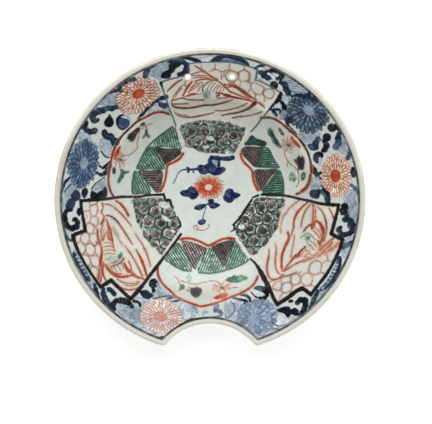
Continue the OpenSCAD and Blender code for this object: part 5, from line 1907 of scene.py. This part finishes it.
class Nodes:
    """A new node material and short calls to build it."""

    def __init__(self, name):
        self.material = bpy.data.materials.new(name)
        self.material.use_nodes = True
        self.tree = self.material.node_tree
        self.shader = self.tree.nodes["Principled BSDF"]

    def add(self, kind, **values):
        """A new node with its inputs or settings given by name."""
        node = self.tree.nodes.new(kind)
        for key, value in values.items():
            if key in node.inputs:
                node.inputs[key].default_value = value
            else:
                setattr(node, key, value)
        return node

    def link(self, source, target):
        self.tree.links.new(source, target)

    def set(self, **values):
        """Links the shader's inputs, or sets them where the value is a number or a colour."""
        for key, value in values.items():
            socket = self.shader.inputs[key.replace("_", " ")]
            if isinstance(value, bpy.types.NodeSocket):
                self.link(value, socket)
            else:
                socket.default_value = value

    def attribute(self, name, output="Fac"):
        return self.add("ShaderNodeAttribute", attribute_name=name).outputs[output]

    def noise(self, scale, detail=2.0):
        node = self.add("ShaderNodeTexNoise", Scale=scale, Detail=detail)
        self.link(self.add("ShaderNodeTexCoord").outputs["Object"], node.inputs["Vector"])
        return node.outputs["Fac"]

    def span(self, source, low, high, start=0.35, end=0.65, ease="LINEAR"):
        """The source's start to end as low to high. A noise lies mostly from 0.35 to 0.65."""
        node = self.add("ShaderNodeMapRange", interpolation_type=ease)
        for key, value in (("From Min", start), ("From Max", end), ("To Min", low), ("To Max", high)):
            node.inputs[key].default_value = value
        self.link(source, node.inputs["Value"])
        return node.outputs["Result"]

    def blend(self, share, a, b, mode="MIX"):
        """Two colours mixed, or blended in another way, by a share."""
        node = self.add("ShaderNodeMix", data_type="RGBA", blend_type=mode)
        for value, key in ((share, "Factor"), (a, "A"), (b, "B")):
            kind = "VALUE" if key == "Factor" else "RGBA"
            socket = next(s for s in node.inputs if s.name == key and s.type == kind)
            if isinstance(value, bpy.types.NodeSocket):
                self.link(value, socket)
            else:
                socket.default_value = value
        return next(s for s in node.outputs if s.type == "RGBA")

    def mottled(self, scale, detail, a, b):
        """A noise between two sRGB colours."""
        return self.blend(self.span(self.noise(scale, detail), 0, 1), srgb(a), srgb(b))

    def bump(self, source, strength, distance):
        node = self.add("ShaderNodeBump", Strength=strength, Distance=distance)
        self.link(source, node.inputs["Height"])
        self.link(node.outputs["Normal"], self.shader.inputs["Normal"])


def srgb(colour):
    return (*from_srgb(np.array(colour, float)).tolist(), 1.0)


def painted_glaze():
    """Glaze over the painting, a little rougher where enamel lies on it."""
    n = Nodes("painted_glaze")
    tint = n.mottled(60, 4, (246, 248, 246), (255, 255, 252))
    n.set(
        Base_Color=n.blend(1.0, n.attribute("paint", "Color"), tint, "MULTIPLY"),
        Roughness=n.span(n.attribute("enamel"), 0.24, 0.32, start=0, end=1),
        Specular_IOR_Level=0.3,
    )
    n.bump(n.noise(700, 3), strength=0.05, distance=0.0004)
    return n.material


def cream_glaze():
    """The lip's cream edge, rubbed browner along its crown, with painted shade at its sides."""
    n = Nodes("cream_glaze")
    cream = n.mottled(75, 4, (222, 217, 203), (232, 228, 217))
    # The crown attribute holds both real rubbing on the crown and painted shade at the sides
    worn = n.add("ShaderNodeMath", operation="MULTIPLY", use_clamp=True)
    n.link(n.attribute("crown"), worn.inputs[0])
    n.link(n.span(n.noise(48, 5), 0.12, 0.85), worn.inputs[1])
    n.set(
        Base_Color=n.blend(worn.outputs["Value"], cream, srgb((176, 158, 132))),
        Roughness=n.span(n.noise(210, 3), 0.22, 0.4),
    )
    n.bump(n.noise(420, 4), strength=0.12, distance=0.0005)
    return n.material


def plain_glaze():
    """Glaze of the back, pooled in places, with a few iron specks."""
    n = Nodes("plain_glaze")
    pooled = n.mottled(22, 5, (205, 212, 207), (216, 220, 213))
    specks = n.span(n.noise(900, 1), -14, 1)
    n.set(
        Base_Color=n.blend(specks, pooled, srgb((200, 196, 180))),
        Roughness=n.span(n.noise(90, 3), 0.12, 0.2),
    )
    n.bump(n.noise(500, 3), strength=0.07, distance=0.0005)
    return n.material


def foot_porcelain():
    """Glaze on the foot's sides, a bare fired rim below, and an orange burn between them."""
    n = Nodes("foot_porcelain")
    z = n.add("ShaderNodeSeparateXYZ")
    n.link(n.add("ShaderNodeTexCoord").outputs["Object"], z.inputs["Vector"])
    wander = n.add("ShaderNodeMath", operation="MULTIPLY_ADD")
    n.link(n.noise(160, 4), wander.inputs[0])
    wander.inputs[1].default_value = 0.0016
    n.link(z.outputs["Z"], wander.inputs[2])

    def above(low, high):
        return n.span(wander.outputs["Value"], 0, 1, low, high, "SMOOTHSTEP")

    bare = n.mottled(420, 4, (206, 190, 166), (226, 214, 194))
    burnt = n.blend(above(0.0014, 0.0026), bare, srgb((204, 164, 122)))
    n.set(
        Base_Color=n.blend(above(0.0027, 0.0036), burnt, srgb((209, 215, 209))),
        Roughness=n.span(above(0.0025, 0.0034), 0.75, 0.15, start=0, end=1),
    )
    n.bump(n.noise(1100, 3), strength=0.25, distance=0.0004)
    return n.material


# Pieces

PAINTED_NODES = [
    "border_line", "blue_flowers", "blue_leaves", "red_flowers", "fan_frames", "hexagon_diaper",
    "fan_birds", "panel_outlines", "panel_blossoms", "panel_leaves", "brocade_net",
    "brocade_cells", "green_triangles", "aubergine_triangles", "centre_brackets",
    "centre_flower", "centre_leaves",
]


def make_front():
    rings = face_rings(GLAZE_T, FRONT_STEP, FRONT_STEP, FRONT_RIM_STEPS) + [lip_ring(0)]
    piece = ring_object("painted_front", rings, centre=(0, 0, height_at(0.0, GLAZE_T)))
    cut_holes(piece, GLAZE_T)
    paint_front(piece)
    finish_mesh(piece, painted_glaze(), "glaze", "body", "front_glaze", *PAINTED_NODES)


def make_lip():
    """The round edge, with how far its skin is worn, most on its crown, and its painted side shade kept
    together as an attribute.
    """
    turns = 90 - 90 * np.cos(np.linspace(0, math.pi, LIP_STEPS))
    piece = ring_object("cream_lip", [lip_ring(turn) for turn in turns])
    rubbed = np.exp(-(((turns - LIP_CROWN_AT) / LIP_CROWN_SPREAD) ** 2))
    crown = np.add.outer(rubbed, LIP_EDGE_SHADE * lip_side_shade(ANGLES)).ravel().astype(np.float32)
    piece.data.attributes.new("crown", "FLOAT", "POINT").data.foreach_set("value", crown)
    finish_mesh(piece, cream_glaze(), "cream_edge", "lip_glaze")


def make_back():
    lift = -WALL_T - GLAZE_T
    rings = face_rings(lift, BACK_STEP, BACK_TURN_STEP, BACK_RIM_STEPS) + [lip_ring(180)]
    piece = ring_object("glazed_back", rings, centre=(0, 0, height_at(0.0, lift)), flip=True)
    cut_holes(piece, lift)
    finish_mesh(piece, plain_glaze(), "glaze", "back_glaze", "base_glaze")


def foot_wall(side, foot_r):
    """One side of the foot from the rim up, as (radius, height), ending in a fillet on the back."""
    top = -WALL_T - GLAZE_T / 2
    rise = height_at(foot_r + side * FOOT_REACH, top) - FOOT_BARE_H
    rows = [(foot_r + side * out, z) for out, z in FOOT_RIM_ROWS]
    for t in FOOT_WALL_ROWS:
        rows.append((foot_r + side * (GLAZE_T + FOOT_LEAN * t), FOOT_BARE_H + t * rise))
    start_r, start_z = rows[-1]
    for t in FOOT_FILLET_ROWS:
        r = start_r + side * FOOT_FILLET_W * t**FOOT_FILLET_BEND
        rows.append((r, start_z + (height_at(r, top) - start_z) * math.sin(t * math.pi / 2)))
    return rows


def make_foot():
    """The foot ring: a tapered ring with a rounded bare rim and a soft joint to the back."""
    outline = foot_wall(-1, FOOT_R - FOOT_W)[::-1] + foot_wall(1, FOOT_R)
    angle = np.arange(FOOT_TURNS) * 2 * math.pi / FOOT_TURNS
    x, y = np.cos(angle), np.sin(angle)
    rings = [np.stack([r * x, r * y, np.full(FOOT_TURNS, z)], -1) for r, z in outline]
    piece = ring_object("foot_ring_porcelain", rings, flip=True)
    finish_mesh(piece, foot_porcelain(), "porcelain", "foot_ring")


make_front()
make_lip()
make_back()
make_foot()


# Stage, light and camera, in metres

FLOOR_SIZE = 8
FLOOR_GAP = 0.0002
FLOOR_GLOW = 0.4
WORLD_STRENGTH = 0.12
LIGHT_AIM = Vector((0, 0, 0.03))
# Name, place, width and power in watts
LIGHTS = [
    ("key", (0.0, 1.25, 1.15), 1.6, 29),
    ("left", (-1.5, -0.2, 0.9), 2.0, 8.5),
    ("right", (1.5, -0.2, 0.9), 2.0, 12.5),
    ("front", (0.0, -1.5, 0.8), 1.6, 5),
]
PLAIN_WHITE = (1, 1, 1, 1)


def make_floor():
    n = Nodes("floor")
    n.set(
        Base_Color=n.mottled(3, 3, (249, 249, 248), (252, 252, 251)),
        Roughness=0.9,
        Emission_Color=PLAIN_WHITE,
        Emission_Strength=FLOOR_GLOW,
    )
    bpy.ops.mesh.primitive_plane_add(size=FLOOR_SIZE)
    floor = bpy.context.object
    floor.name = "floor"
    floor.location.z = -FLOOR_GAP
    floor.data.materials.append(n.material)


def make_light(name, place, size, power):
    """A soft square light that faces the bowl."""
    data = bpy.data.lights.new(name, "AREA")
    data.size = size
    data.energy = power
    lamp = bpy.data.objects.new(name, data)
    lamp.location = place
    lamp.rotation_euler = (LIGHT_AIM - Vector(place)).to_track_quat("-Z", "Y").to_euler()
    bpy.context.scene.collection.objects.link(lamp)


def make_camera():
    """The photograph's view: its frame is wider than high, and the bowl stands a little off its middle."""
    data = bpy.data.cameras.new("camera")
    data.sensor_width = SENSOR_W
    data.lens = SENSOR_W * EYE_DISTANCE * PX_PER_MM / PHOTO_W
    data.shift_x = (PHOTO_W / 2 - LIP_CENTRE_PX[0]) / PHOTO_W
    data.shift_y = (LIP_CENTRE_PX[1] - PHOTO_H / 2) / PHOTO_W
    camera = bpy.data.objects.new("camera", data)
    camera.matrix_world = Matrix.Translation(EYE * MM) @ Matrix.Rotation(-TILT, 4, "X")
    bpy.context.scene.collection.objects.link(camera)
    bpy.context.scene.camera = camera


def make_world():
    world = bpy.data.worlds.new("studio")
    world.use_nodes = True
    background = world.node_tree.nodes["Background"]
    background.inputs["Color"].default_value = PLAIN_WHITE
    background.inputs["Strength"].default_value = WORLD_STRENGTH
    bpy.context.scene.world = world
    bpy.context.scene.view_settings.view_transform = "Standard"


make_floor()
for light in LIGHTS:
    make_light(*light)
make_camera()
make_world()
